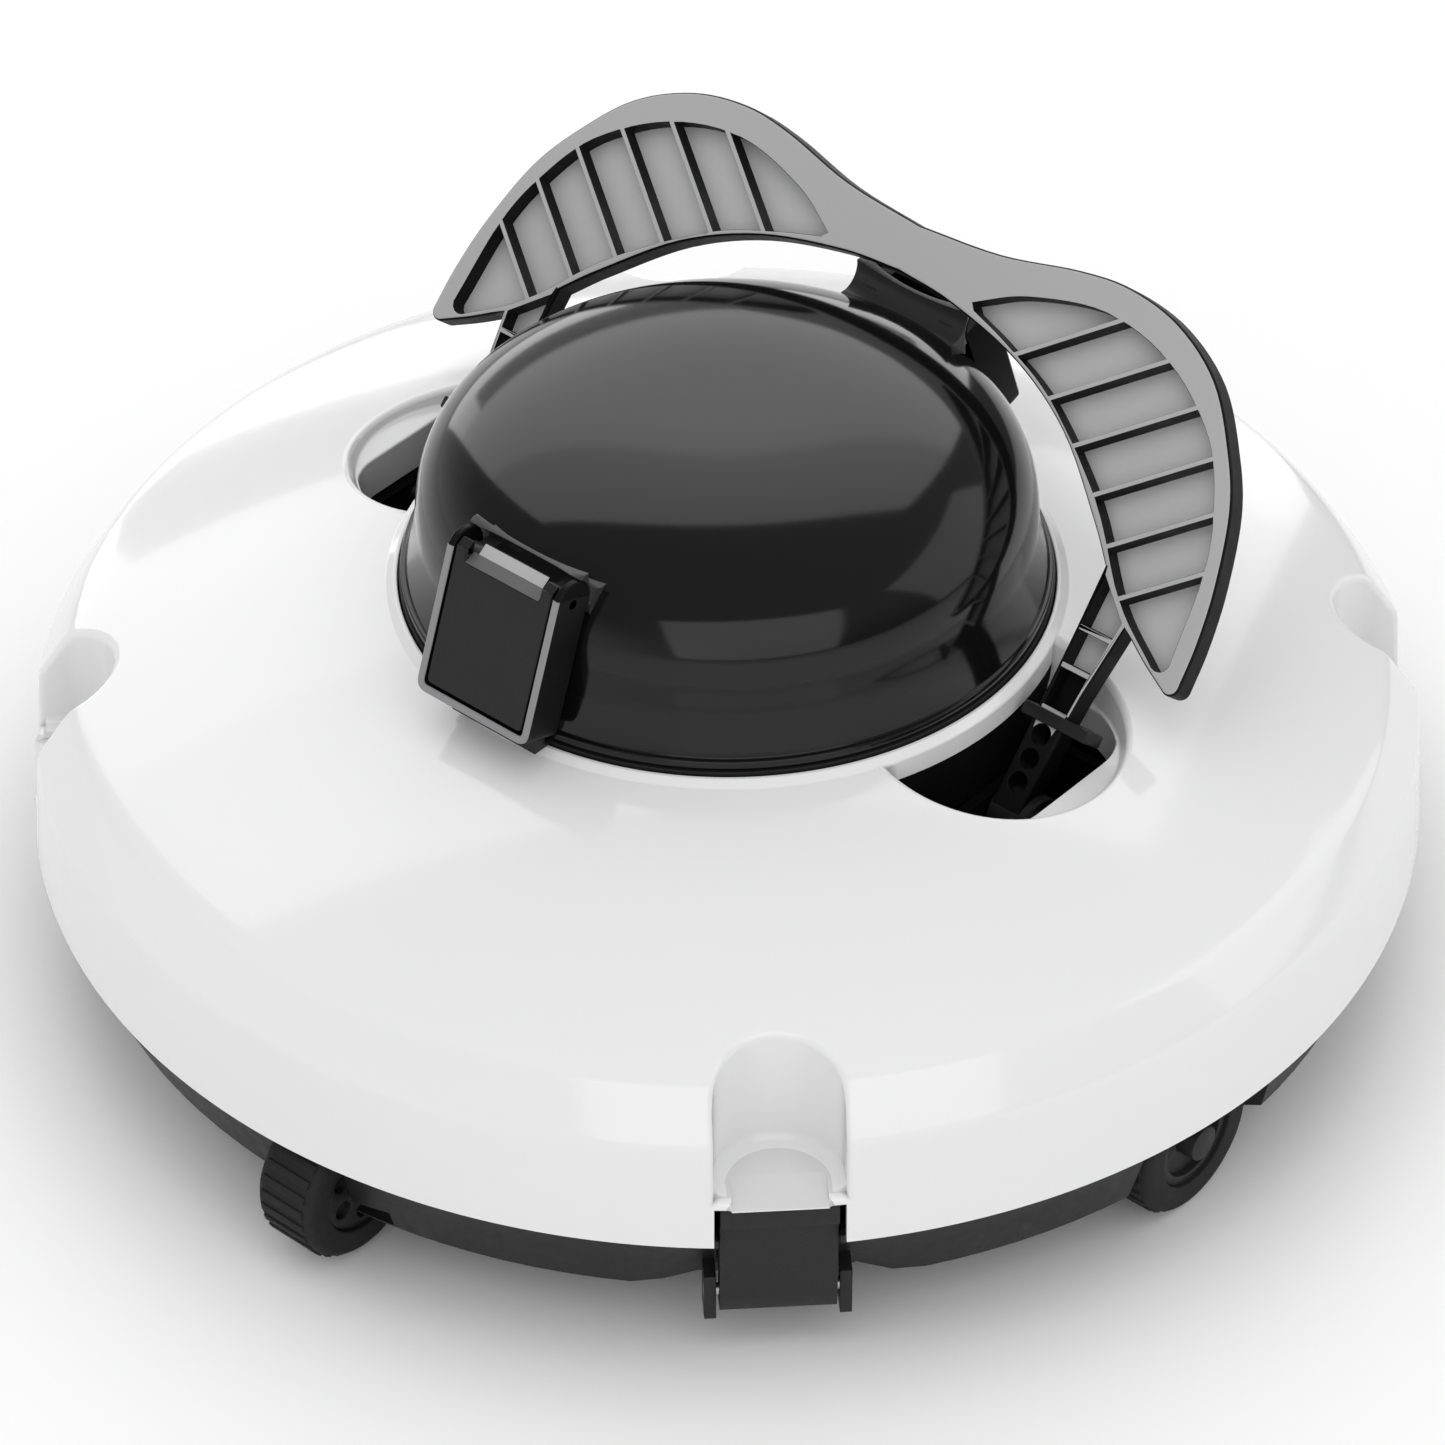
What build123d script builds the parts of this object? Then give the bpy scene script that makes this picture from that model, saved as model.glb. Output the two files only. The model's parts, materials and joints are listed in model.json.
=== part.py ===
from build123d import *
from math import cos, radians, sin
import os

os.makedirs("parts", exist_ok=True)

# Hull: radii and heights in mm, the floor is at zero
edge_z = 38.0
hull_radius = 170.0
bevel_low = (168.2, edge_z + 28.4)
bevel_top = (160.0, edge_z + 40.9)
bevel_round = 5.0
crown = (82.0, edge_z + 62.0)
crown_middle = (121.0, edge_z + 53.2)
lip_top = edge_z + 63.5
lip_radius = 80.2
throat_radius = 79.2
throat_wall = 82.0
throat_low = 78.0
hull_wall = 3.0
# Finger notches and the clasps below them, by angle from the front toward the right
notch_angles = {"front_right": 45, "front_left": -45, "rear_right": 135, "rear_left": -135}
notch_radius = 15.0
notch_center = 163.0
notch_floor = edge_z + 13.0
notch_scoop = 3.0
notch_wall = 2.5
slot_back = 157.5
slot_front = notch_center + 20
slot_width = 22.0
slot_drop = 3.8
mouth_top = notch_floor - 2.0
clasp_pin_z = 18.0
clasp_pin_r = 161.5
clasp_pin_radius = 1.5
clasp_width = 27.0
# Wells that the handle legs go into
well_x = 84.0
well_low = 28.8
well_high = 34.0
well_floor = 90.0
well_height = 13.0
well_middle = well_floor + well_height / 2
floor_thick = 3.0
leg_gap = (24.4, 39.5)
leg_gap_at = (94.3, -2.25)
# Handle: its front face leans back, and heights along the face start at face_zero
handle_lean = 41.6
face_zero = edge_z + 46.8
handle_thick = 7.0
pocket_depth = 4.2
rib_count = 6
rib_pitch = 17.0
rib_angle = 39.4
rib_thick = 1.3
pivot_z = edge_z + 36.0
pivot_pin = 3.0
leg_inner = 86.5
leg_outer = 95.0
leg_foot = -8.0
# Lid
lid_radius = 74.5
lid_shoulder = edge_z + 78.2
lid_rise = 35.8
lid_wall = 2.6
lid_bottom = edge_z + 64.8
lid_flange = 78.4
lid_skirt = 77.2
lid_flange_thick = 2.2
# Latches, the same at the front and the rear
latch_half = 17.3
latch_pivot = (73.7, edge_z + 104.1)
latch_round = 5.66
latch_foot = (90.9, edge_z + 71.5)
latch_back = (77.2, edge_z + 74.0)
latch_wall = 2.6
latch_pin_radius = 1.2
latch_corner = 3.0
finger_width = 22.0
keeper = (82.0, edge_z + 73.0)
keeper_radius = 2.0
# Wheels
wheel_radius = 20.0
wheel_z = 20.0
tread = 1.6
hub_radius = 12.5
drive_x = 150.0
drive_y = -14.0
drive_width = 16.0
drive_shaft = 2.6
idler_x = 12.8
idler_y = 152.5
idler_width = 17.0
axle_radius = 2.5
# Pump, beside the filter chamber
pump = (80.0, 80.0)
pump_angle = 135
suction_z = 30.0
outlet_z = 28.0
pipe_radius = 7.0
# Rear sockets
socket_z = edge_z + 19.5
socket_x = 28.0
socket_radius = 7.5
lamp_radius = 4.2
# Gap of a running fit, on the radius
run = 0.05
# Solids that stand on their lowest face
stand = (Align.CENTER, Align.CENTER, Align.MIN)


def keep(builder, name):
    builder.part.label = name
    export_step(builder.part, "parts/" + name + ".step")


def polar(angle, radius, z=0.0, tangent=0.0):
    return Rot(0, 0, angle) * Pos(tangent, -radius, z)


def along_x(x, y, z):
    return Location((x, y, z), (0, 90, 0))


def along_y(x, y, z):
    return Location((x, y, z), (90, 0, 0))


def dome_points(radius, rise, foot):
    points = []
    for step in range(7):
        a = radians(15 * step)
        r = radius * max(cos(a), 0) ** (2 / 3)
        points.append((0 if step == 6 else r, foot + rise * sin(a) ** (2 / 3)))
    return points


# Solid under the outer skin, used to trim what stands inside the hull
with BuildPart() as under_skin:
    with BuildSketch(Plane.XZ):
        with BuildLine():
            Polyline((0, 0), (hull_radius, 0), (hull_radius, edge_z), bevel_low, bevel_top)
            ThreePointArc(bevel_top, crown_middle, crown)
            Polyline(crown, (lip_radius, lip_top), (0, lip_top), (0, 0))
        make_face()
    revolve(axis=Axis.Z)

# Walls of the four notches and of the two handle wells
with BuildPart() as hull_posts:
    for angle in notch_angles.values():
        with Locations(polar(angle, notch_center, edge_z)):
            Cylinder(notch_radius + notch_wall, 46, align=stand)
        with Locations(polar(angle, notch_center + 5, edge_z)):
            Box(2 * (notch_radius + notch_wall), 10, 46, align=stand)
    with Locations((-well_x, 0, well_middle), (well_x, 0, well_middle)):
        Cone(well_low + notch_wall, well_high + notch_wall, well_height)
    with Locations((-well_x, 0, well_floor - floor_thick), (well_x, 0, well_floor - floor_thick)):
        Cylinder(well_low + notch_wall, floor_thick, align=stand)
    add(under_skin.part, mode=Mode.INTERSECT)
    Cylinder(throat_wall - 1, 300, mode=Mode.SUBTRACT)

# Each well is a dish whose floor is open where the handle's leg swings through it
with BuildPart() as handle_wells:
    for side in (-1, 1):
        with BuildSketch(Plane.XY.offset(well_floor - floor_thick - 0.1)):
            with Locations((side * well_x, 0)):
                Circle(well_low - 0.6)
            with Locations((side * leg_gap_at[0], leg_gap_at[1])):
                Rectangle(*leg_gap, mode=Mode.INTERSECT)
        extrude(amount=floor_thick + 0.2)
        with Locations((side * well_x, 0, well_middle)):
            Cone(well_low, well_high, well_height + 0.1)
    Cylinder(throat_wall, 300, mode=Mode.SUBTRACT)

# One finger notch: a scoop with a rounded floor, a sloping slot and the clasp's mouth
with BuildPart() as notch_tool:
    with BuildSketch(Plane.XY.offset(notch_floor)):
        with Locations((0, -notch_center)):
            Circle(notch_radius)
        with Locations((0, -notch_center - 10)):
            Rectangle(2 * notch_radius, 20)
    extrude(amount=60)
    scoop_edges = notch_tool.faces().sort_by(Axis.Z)[0].edges().sort_by(Axis.Y)[1:]
    fillet(scoop_edges, notch_scoop)
    with BuildSketch(Plane.YZ):
        Polygon((-slot_back, notch_floor + 1), (-slot_back, notch_floor),
                (-slot_front, notch_floor - slot_drop), (-slot_front, notch_floor + 1), align=None)
    extrude(amount=slot_width / 2, both=True)
    with Locations((0, -notch_center, mouth_top - 13)):
        Box(2 * notch_radius, 26, 13, align=stand)

with BuildPart() as top_shell:
    with BuildSketch(Plane.XZ) as hull_section:
        with BuildLine():
            Polyline((hull_radius, edge_z), bevel_low, bevel_top)
            ThreePointArc(bevel_top, crown_middle, crown)
            Polyline(crown, (lip_radius, lip_top), (throat_radius, lip_top), (throat_radius, throat_low))
            inner_crown = (throat_wall, crown[1] - hull_wall)
            Polyline((throat_radius, throat_low), (throat_wall, throat_low), inner_crown)
            inner_top = (bevel_top[0] - 2.4, bevel_top[1] - 2.2)
            inner_middle = (crown_middle[0] - 0.6, crown_middle[1] - hull_wall)
            ThreePointArc(inner_crown, inner_middle, inner_top)
            inner_low = (bevel_low[0] - hull_wall, bevel_low[1] - 1)
            Polyline(inner_top, inner_low, (hull_radius - hull_wall, edge_z), (hull_radius, edge_z))
        make_face()
        corners = [v for v in hull_section.vertices() if v.X > bevel_top[0] - 0.5 and v.Y > bevel_low[1] - 6]
        fillet([v for v in corners if v.X != inner_low[0]], bevel_round)
    revolve(axis=Axis.Z)
    add(hull_posts.part)
    add(handle_wells.part, mode=Mode.SUBTRACT)
    with Locations(*[Rot(0, 0, angle) for angle in notch_angles.values()]):
        add(notch_tool.part, mode=Mode.SUBTRACT)
    # Charging inlet in the middle of the rear, button and lamp beside it
    with Locations(along_y(0, 165, socket_z), along_y(socket_x, 165, socket_z)):
        Cylinder(socket_radius, 20, mode=Mode.SUBTRACT)
    with Locations(along_y(-socket_x, 165, socket_z)):
        Cylinder(lamp_radius, 20, mode=Mode.SUBTRACT)
keep(top_shell, "top_shell")

# Base tray with wheel wells, clasp ears, intake and outlet holes
tray_low = 14.0
tray_floor = 17.0
tray_foot = 150.0
tray_rim = 167.5
tray_rim_z = 35.5
tray_top = 37.7
well_roof = 42.4
roof_thick = 2.0
intake_radius = 22.6
with BuildPart() as well_walls:
    for side in (-1, 1):
        with Locations((-side * idler_x, side * 150, tray_low)):
            Box(24, 48, well_roof + roof_thick - tray_low, align=stand)
        with Locations((side * 153, drive_y, tray_low)):
            Box(30, 48, well_roof + roof_thick - tray_low, align=stand)
    with BuildSketch(Plane.XZ):
        Polygon((0, tray_low), (tray_foot, tray_low), (155, tray_floor), (164.3, tray_rim_z), (164.3, 60),
                (0, 60), align=None)
    revolve(axis=Axis.Z, mode=Mode.INTERSECT)

with BuildPart() as base_tray:
    with BuildSketch(Plane.XZ):
        Polygon((0, tray_low), (tray_foot, tray_low), (155, tray_floor), (164.5, tray_rim_z),
                (tray_rim, tray_rim_z), (tray_rim, tray_top), (161.5, tray_top), (152, tray_floor),
                (0, tray_floor), align=None)
    revolve(axis=Axis.Z)
    add(well_walls.part)
    for side in (-1, 1):
        with Locations((-side * idler_x, side * 152, -10)):
            Box(20, 48, well_roof + 10, align=stand, mode=Mode.SUBTRACT)
        with Locations((side * 160, drive_y, -10)):
            Box(40, 44, well_roof + 10, align=stand, mode=Mode.SUBTRACT)
        with Locations(along_x(-side * idler_x, side * idler_y, wheel_z)):
            Cylinder(axle_radius + run, 40, mode=Mode.SUBTRACT)
        with Locations(along_x(side * 139, drive_y, wheel_z)):
            Cylinder(drive_shaft + 0.5, 12, mode=Mode.SUBTRACT)
    for angle in notch_angles.values():
        with Locations(polar(angle, 166, 24)):
            Box(clasp_width + 0.8, 18, 40, mode=Mode.SUBTRACT)
        with Locations(polar(angle, 160.4, 17.5, 15.6), polar(angle, 160.4, 17.5, -15.6)):
            Box(2.8, 7.2, 13)
        with Locations(polar(angle, clasp_pin_r, clasp_pin_z) * Rot(0, 90, 0)):
            Cylinder(clasp_pin_radius + run, 40, mode=Mode.SUBTRACT)
    Cylinder(intake_radius, 60, mode=Mode.SUBTRACT)
    with Locations(along_y(pump[0], 137, outlet_z)):
        Cylinder(8.7, 24, mode=Mode.SUBTRACT)
keep(base_tray, "base_tray")

# Filter chamber, collar, seal and keeper bars
chamber_radius = 76.4
chamber_bore = 73.6
collar_low = 97.1
collar_top = 102.4
groove_low = 101.0
with BuildPart() as filter_chamber:
    with Locations((0, 0, tray_floor + 0.2)):
        Cylinder(chamber_radius, collar_low - tray_floor - 0.3, align=stand)
        Cylinder(chamber_bore, collar_low, align=stand, mode=Mode.SUBTRACT)
    with Locations(polar(pump_angle, 75, suction_z) * Rot(90, 0, 0)):
        Cylinder(pipe_radius, 20, mode=Mode.SUBTRACT)
keep(filter_chamber, "filter_chamber")

tongue = (26.0, 6.0, 1.0)
tongue_y = 80.0
ear_x = 11.5
ear_foot = (3.0, 3.4, 12.4)
ear_foot_y = 81.3
ear_head = (3.0, 5.4, 9.0)
ear_head_y = 82.3
with BuildPart() as filter_collar:
    with BuildSketch(Plane.XZ):
        Polygon((70, collar_low), (78.8, collar_low), (78.8, collar_top), (75.6, collar_top),
                (75.6, groove_low), (73, groove_low), (73, collar_top), (70, collar_top), align=None)
    revolve(axis=Axis.Z)
    # Ears that carry a keeper bar, on a tongue under each latch; their feet are set back out of sight
    for side in (-1, 1):
        with Locations((0, side * tongue_y, collar_top - 0.8)):
            Box(*tongue, align=stand)
        for x in (-ear_x, ear_x):
            with Locations((x, side * ear_foot_y, collar_top - 0.8)):
                Box(*ear_foot, align=stand)
            with Locations((x, side * ear_head_y, collar_top + 2.6)):
                Box(*ear_head, align=stand)
        with Locations(along_x(0, side * keeper[0], keeper[1])):
            Cylinder(keeper_radius, 40, mode=Mode.SUBTRACT)
keep(filter_collar, "filter_collar")

with BuildPart() as lid_seal:
    with Locations((0, 0, groove_low)):
        Cylinder(75.5, 1.4, align=stand)
        Cylinder(73.1, 2, align=stand, mode=Mode.SUBTRACT)
keep(lid_seal, "lid_seal")

for side, place in ((-1, "front"), (1, "rear")):
    with BuildPart() as keeper_bar:
        with Locations(along_x(0, side * keeper[0], keeper[1])):
            Cylinder(keeper_radius, 26)
    keep(keeper_bar, place + "_keeper_bar")

# Intake riser with the flap that keeps dirt in the basket
riser_radius = 22.5
riser_bore = 20.0
riser_top = 60.0
flap_y = -23.5
flap_z = riser_top + 2.5
flap_pin = 1.0
with BuildPart() as intake_riser:
    with Locations((0, 0, tray_low - 1)):
        Cylinder(riser_radius, riser_top - tray_low + 1, align=stand)
        Cylinder(27, 1, align=stand)
    for x in (-7.5, 7.5):
        with Locations((x, flap_y, flap_z - 5)):
            Box(2, 4, 7, align=stand)
        with Locations((x, -riser_radius, riser_top - 5)):
            Box(2, 6, 4, align=stand)
    with Locations((0, 0, 36)):
        Cylinder(riser_bore, 60, mode=Mode.SUBTRACT)
    with Locations(along_x(0, flap_y, flap_z)):
        Cylinder(flap_pin, 17)
keep(intake_riser, "intake_riser")

with BuildPart() as intake_flap:
    with Locations((0, 0, riser_top + 0.5)):
        Cylinder(21.5, 1.8, align=stand)
        with Locations((0, -21, 0)):
            Box(12, 5, 2.8, align=stand)
    with Locations(along_x(0, flap_y, flap_z)):
        Cylinder(2 * flap_pin, 12)
        Cylinder(flap_pin + run, 20, mode=Mode.SUBTRACT)
keep(intake_flap, "intake_flap")

# Filter basket and its screen
basket_radius = 69.4
basket_floor = tray_floor + 0.3
basket_top = 93.0
post_count = 12
screen_radius = 65.8
with BuildPart() as filter_basket:
    with Locations((0, 0, basket_floor)):
        Cylinder(68.8, 2.2, align=stand)
        Cylinder(29.5, 41.2, align=stand)
    with Locations((0, 0, basket_top - 4)):
        Cylinder(basket_radius, 4, align=stand)
        Cylinder(64, 5, align=stand, mode=Mode.SUBTRACT)
    with Locations((0, 0, 38)):
        Cylinder(27.6, 60, mode=Mode.SUBTRACT)
    with PolarLocations(67.9, post_count):
        with Locations((0, 0, basket_floor + 1.2)):
            Box(2, 4, 71, align=stand)
keep(filter_basket, "filter_basket")

with BuildPart() as filter_screen:
    with Locations((0, 0, basket_floor + 2.25)):
        Cylinder(screen_radius, 69.4, align=stand)
        Cylinder(screen_radius - 0.8, 70, align=stand, mode=Mode.SUBTRACT)
keep(filter_screen, "filter_screen")

# Lid: full dome, short skirt, thin flange and a spigot in the collar
spigot_radius = 69.5
spigot_bore = 67.2
spigot_low = 98.6
with BuildPart() as lid_outside:
    with BuildSketch(Plane.XZ):
        with BuildLine():
            Spline(dome_points(lid_radius, lid_rise, lid_shoulder), tangents=[(0, 1), (-1, 0)])
            Polyline((0, lid_shoulder + lid_rise), (0, lid_bottom), (lid_flange, lid_bottom))
            Polyline((lid_flange, lid_bottom), (lid_flange, lid_bottom + lid_flange_thick),
                     (lid_skirt, lid_bottom + lid_flange_thick), (lid_radius, lid_shoulder))
        make_face()
    revolve(axis=Axis.Z)

with BuildPart() as lid:
    add(lid_outside.part)
    with Locations((0, 0, spigot_low)):
        Cylinder(spigot_radius, 4.4, align=stand)
    with BuildSketch(Plane.XZ):
        with BuildLine():
            Spline(dome_points(lid_radius - lid_wall, lid_rise - lid_wall, lid_shoulder),
                   tangents=[(0, 1), (-1, 0)])
            Polyline((0, lid_shoulder + lid_rise - lid_wall), (0, 90), (spigot_bore, 90), (spigot_bore, 104),
                     (lid_radius - lid_wall, lid_shoulder))
        make_face()
    revolve(axis=Axis.Z, mode=Mode.SUBTRACT)
keep(lid, "lid")

# Latches: bracket and pin on the lid, lever and pad that swing on the pin
face_lean = (0.9425, 0.334)
barrel_cos = 0.9456
barrel_sin = 0.3253
bracket_top = 148.0
bracket_dip = 1.6
dip_radius = 90.0
knuckle_x = 12.0
finger_bar = (4.4, 4.6)
finger_bar_at = (78.6, 136.7)
pad_size = (28.8, 31.4)
pad_thick = 1.2
pad_middle = 18.4
pad_gap = 0.8
lever_length = 50.0
for side, place in ((-1, "front"), (1, "rear")):
    py, pz = side * latch_pivot[0], latch_pivot[1]
    front_tangent = (py + side * latch_round * barrel_cos, pz + latch_round * barrel_sin)
    back_tangent = (py - side * latch_round * barrel_cos, pz - latch_round * barrel_sin)
    top_point = (py - side * latch_round * barrel_sin, pz + latch_round * barrel_cos)
    latch_face = Plane(origin=(0, side * latch_foot[0], latch_foot[1] + 1), x_dir=(-side, 0, 0),
                       z_dir=(0, side * face_lean[0], face_lean[1]))

    with BuildPart() as bracket:
        with BuildSketch(Plane.YZ):
            with BuildLine():
                Polyline((side * 69.4, bracket_top), (side * 75, 146), (side * 75, 130), (side * 55, 130),
                         (side * 55, 141.4), (side * 64, 141.5))
                ThreePointArc((side * 64, 141.5), (side * 67, 143.3), (side * 68.2, bracket_top))
                Line((side * 68.2, bracket_top), (side * 69.4, bracket_top))
            make_face()
        extrude(amount=latch_half, both=True)
        # The top edge sags between its two ends
        with Locations(along_y(0, side * 70, bracket_top - bracket_dip + dip_radius)):
            Cylinder(dip_radius, 20, mode=Mode.SUBTRACT)
        with Locations(along_x(0, py, pz)):
            Cylinder(latch_round + 0.4, 60, mode=Mode.SUBTRACT)
        with Locations((0, side * 75.9, 119)):
            Box(60, 16, 40, mode=Mode.SUBTRACT)
        for x in (-knuckle_x, knuckle_x):
            with Locations(along_x(x, py, pz)):
                Cylinder(2.6, 4)
            with Locations((x, side * 69.8, 141.2)):
                Box(4, 6.4, 4)
        with Locations(along_x(0, py, pz)):
            Cylinder(latch_pin_radius + 0.02, 60, mode=Mode.SUBTRACT)
        add(lid_outside.part, mode=Mode.SUBTRACT)
    keep(bracket, place + "_latch_bracket")

    with BuildPart() as latch_pin:
        with Locations(along_x(0, py, pz)):
            Cylinder(latch_pin_radius, 2 * latch_half)
    keep(latch_pin, place + "_latch_pin")

    with BuildPart() as lever:
        with BuildSketch(Plane.YZ):
            with BuildLine():
                ThreePointArc(front_tangent, top_point, back_tangent)
                Polyline(back_tangent, (side * latch_back[0], latch_back[1]),
                         (side * (latch_foot[0] - 2), latch_foot[1]),
                         (side * latch_foot[0], latch_foot[1] + 1), front_tangent)
            make_face()
        extrude(amount=latch_half, both=True)
        # Hollow from behind, so that a frame and two cheeks are left
        top_y = front_tangent[0] - side * latch_wall
        low_y = side * (latch_foot[0] - latch_wall)
        low_z = latch_foot[1] + 1
        with BuildSketch(Plane.YZ):
            Polygon((top_y, pz + 12), (top_y, front_tangent[1]), (low_y, low_z), (low_y, low_z - 5),
                    (side * 60, low_z - 5), (side * 60, pz + 12), align=None)
        extrude(amount=latch_half - latch_wall, both=True, mode=Mode.SUBTRACT)
        with Locations(along_x(0, py, pz)):
            Cylinder(latch_pin_radius + run, 60, mode=Mode.SUBTRACT)
        with Locations((0, side * 78, 146)):
            Box(finger_width, 20, 14, mode=Mode.SUBTRACT)
        # Thick bar under the finger, between the two ears
        with Locations((0, side * finger_bar_at[0], finger_bar_at[1])):
            Box(2 * (latch_half - latch_wall), *finger_bar)
        # Catch in front of the keeper bar
        with Locations((0, side * 86.3, keeper[1] + 1)):
            Box(14, 3.4, 4)
        # Rounded lower corners
        with BuildSketch(latch_face) as lever_front:
            with Locations((0, lever_length / 2 - 0.8)):
                Rectangle(2 * latch_half, lever_length)
            fillet(lever_front.vertices().sort_by(Axis.Z)[:2], latch_corner)
        extrude(amount=40, both=True, mode=Mode.INTERSECT)
        # Recess for the pad
        with BuildSketch(latch_face.offset(0.2)) as recess:
            with Locations((0, pad_middle + 0.1)):
                Rectangle(pad_size[0] + 2 * pad_gap, pad_size[1] + 2 * pad_gap)
            fillet(recess.vertices().sort_by(Axis.Z)[:2], latch_corner - 1)
        extrude(amount=-pad_thick - 0.25, mode=Mode.SUBTRACT)
    keep(lever, place + "_latch_lever")

    with BuildPart() as pad:
        with BuildSketch(latch_face) as pad_front:
            with Locations((0, pad_middle)):
                Rectangle(*pad_size)
            fillet(pad_front.vertices().sort_by(Axis.Z)[:2], latch_corner - 1)
            with Locations((0, 34)):
                Rectangle(finger_width + 0.6, 14, mode=Mode.SUBTRACT)
        extrude(amount=-pad_thick)
    keep(pad, place + "_latch_pad")

# Handle with ribbed wings, ladder legs and pivot bosses
lean = radians(handle_lean)
face = Plane(origin=(0, 0, face_zero), x_dir=(1, 0, 0), z_dir=(0, -cos(lean), sin(lean)))
outer_edge = [(0, 106.6), (23.6, 108.6), (45, 113.3), (60, 114.7), (76, 111.8), (91, 103.6),
              (102.5, 90.3), (109.8, 78), (115, 61), (117.4, 47), (118.1, 35.6)]
wing_tip = (116.82, 33.36)
inner_edge = [(114.24, 33.33), (106.3, 37.5), (97.6, 42.9), (77.5, 62.4), (60, 77.5), (40, 87.5), (17, 93),
              (0, 94.5)]
pocket_top = [(22.6, 95.4), (36, 102.4), (57, 107), (78, 102.8), (96, 91), (105.5, 76.5), (110.6, 62),
              (112.9, 40.5)]
pocket_tip = (111.7, 37.3)
pocket_low = [(109.2, 37.3), (93.8, 47.9), (76.4, 66.4), (53.5, 82.9), (36, 90.2), (24, 93.9)]
cell_inner = 88.7
cell_outer = 95.3
cell_rows = ((18.6, 27.4), (30.0, 37.2))
cell_top = [(cell_inner, 39.8), (cell_outer, 39.8), (cell_outer, 42.4), (cell_inner, 49.0)]
drain_x = 90.7
drain_heights = (11.4, 5.2, -1.0)
drain_radius = 2.5
boss_radius = 7.0
bar_x = 93.0
bar_height = 15.8
bar_length = 19.0
bar_width = 3.2
bar_proud = 1.2
with BuildPart() as handle:
    with BuildSketch(face):
        with BuildLine():
            Spline(outer_edge, tangents=[(1, 0), (0, -1)])
            ThreePointArc(outer_edge[-1], wing_tip, inner_edge[0])
            Spline(inner_edge, tangents=[(-0.876, 0.482), (-1, 0)])
            Line(inner_edge[-1], outer_edge[0])
        make_face()
        Polygon((84.6, 60), (leg_inner, 38), (leg_inner + 0.1, leg_foot), (leg_outer, leg_foot),
                (leg_outer + 1.6, 18), (leg_outer + 4, 43), (leg_outer + 4, 50), align=None)
        mirror(about=Plane.YZ)
    extrude(amount=-handle_thick)
    with BuildSketch(face):
        with BuildLine():
            Spline(pocket_top)
            ThreePointArc(pocket_top[-1], pocket_tip, pocket_low[0])
            Spline(pocket_low)
            Line(pocket_low[-1], pocket_top[0])
        make_face()
        # Slanting ribs stay standing in each pocket
        for row in range(rib_count):
            with Locations(Pos(70, 28.9 + rib_pitch * row) * Rot(0, 0, rib_angle)):
                Rectangle(150, rib_thick, mode=Mode.SUBTRACT)
        # Cells between the rungs of the legs
        for low, high in cell_rows:
            with Locations(((cell_inner + cell_outer) / 2, (low + high) / 2)):
                Rectangle(cell_outer - cell_inner, high - low)
        Polygon(*cell_top, align=None)
        mirror(about=Plane.YZ)
    extrude(amount=-pocket_depth, mode=Mode.SUBTRACT)
    with BuildSketch(face):
        with Locations(*[(x, s) for x in (-drain_x, drain_x) for s in drain_heights]):
            Circle(drain_radius)
    extrude(amount=-handle_thick, mode=Mode.SUBTRACT)
    # Cross bar at the mouth of each well, and the pivot boss
    for side in (-1, 1):
        with Locations(face.location * Pos(side * bar_x, bar_height, (bar_proud - handle_thick) / 2)):
            Box(bar_length, bar_width, handle_thick + bar_proud)
        with Locations(along_x(side * 91.7, 0, pivot_z)):
            Cylinder(boss_radius, 11)
            Cylinder(pivot_pin + run, 40, mode=Mode.SUBTRACT)
keep(handle, "handle")

cup_x = 94.5
cup_size = (25.0, 48.0, well_floor - floor_thick - 60)
cup_wall = 3.0
for side, place in ((-1, "left"), (1, "right")):
    with BuildPart() as cup:
        with Locations((side * cup_x, 0, 60)):
            Box(*cup_size, align=stand)
        with Locations((side * (cup_x - 0.8), 0, 60 + cup_wall)):
            Box(cup_size[0] - 7, cup_size[1] - 5, cup_size[2], align=stand, mode=Mode.SUBTRACT)
        with Locations(along_x(side * cup_x, 0, pivot_z)):
            Cylinder(pivot_pin, 60, mode=Mode.SUBTRACT)
    keep(cup, place + "_pivot_cup")

    with BuildPart() as pin:
        with Locations(along_x(side * cup_x, 0, pivot_z)):
            Cylinder(pivot_pin, cup_size[0])
    keep(pin, place + "_pivot_pin")

# Clasps: a stepped front that thickens to a finger bar at the top, hollow behind
clasp_line = [(-159.6, 14.0), (-164.4, 14.0), (-165.6, 19.0), (-165.6, 40.6), (-167.0, 42.2), (-168.2, 42.6),
              (-168.2, 47.4), (-167.4, 48.4), (-159.6, 48.4)]
hollow_line = [(-158, 24.0), (-161.5, 24.0), (-163.0, 26.0), (-163.0, 46.0), (-158, 46.0)]
clasp_hollow = 23.0
for place, angle in notch_angles.items():
    clasp_side = Plane(Rot(0, 0, angle) * Plane.YZ.location)
    with BuildPart() as clasp:
        with BuildSketch(clasp_side):
            Polygon(*clasp_line, align=None)
        extrude(amount=clasp_width / 2, both=True)
        with BuildSketch(clasp_side):
            Polygon(*hollow_line, align=None)
        extrude(amount=clasp_hollow / 2, both=True, mode=Mode.SUBTRACT)
        with Locations(polar(angle, clasp_pin_r, clasp_pin_z) * Rot(0, 90, 0)):
            Cylinder(clasp_pin_radius + run, 40, mode=Mode.SUBTRACT)
    keep(clasp, place + "_clasp")

    with BuildPart() as clasp_pin:
        with Locations(polar(angle, clasp_pin_r, clasp_pin_z) * Rot(0, 90, 0)):
            Cylinder(clasp_pin_radius, 34)
    keep(clasp_pin, place + "_clasp_pin")


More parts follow.
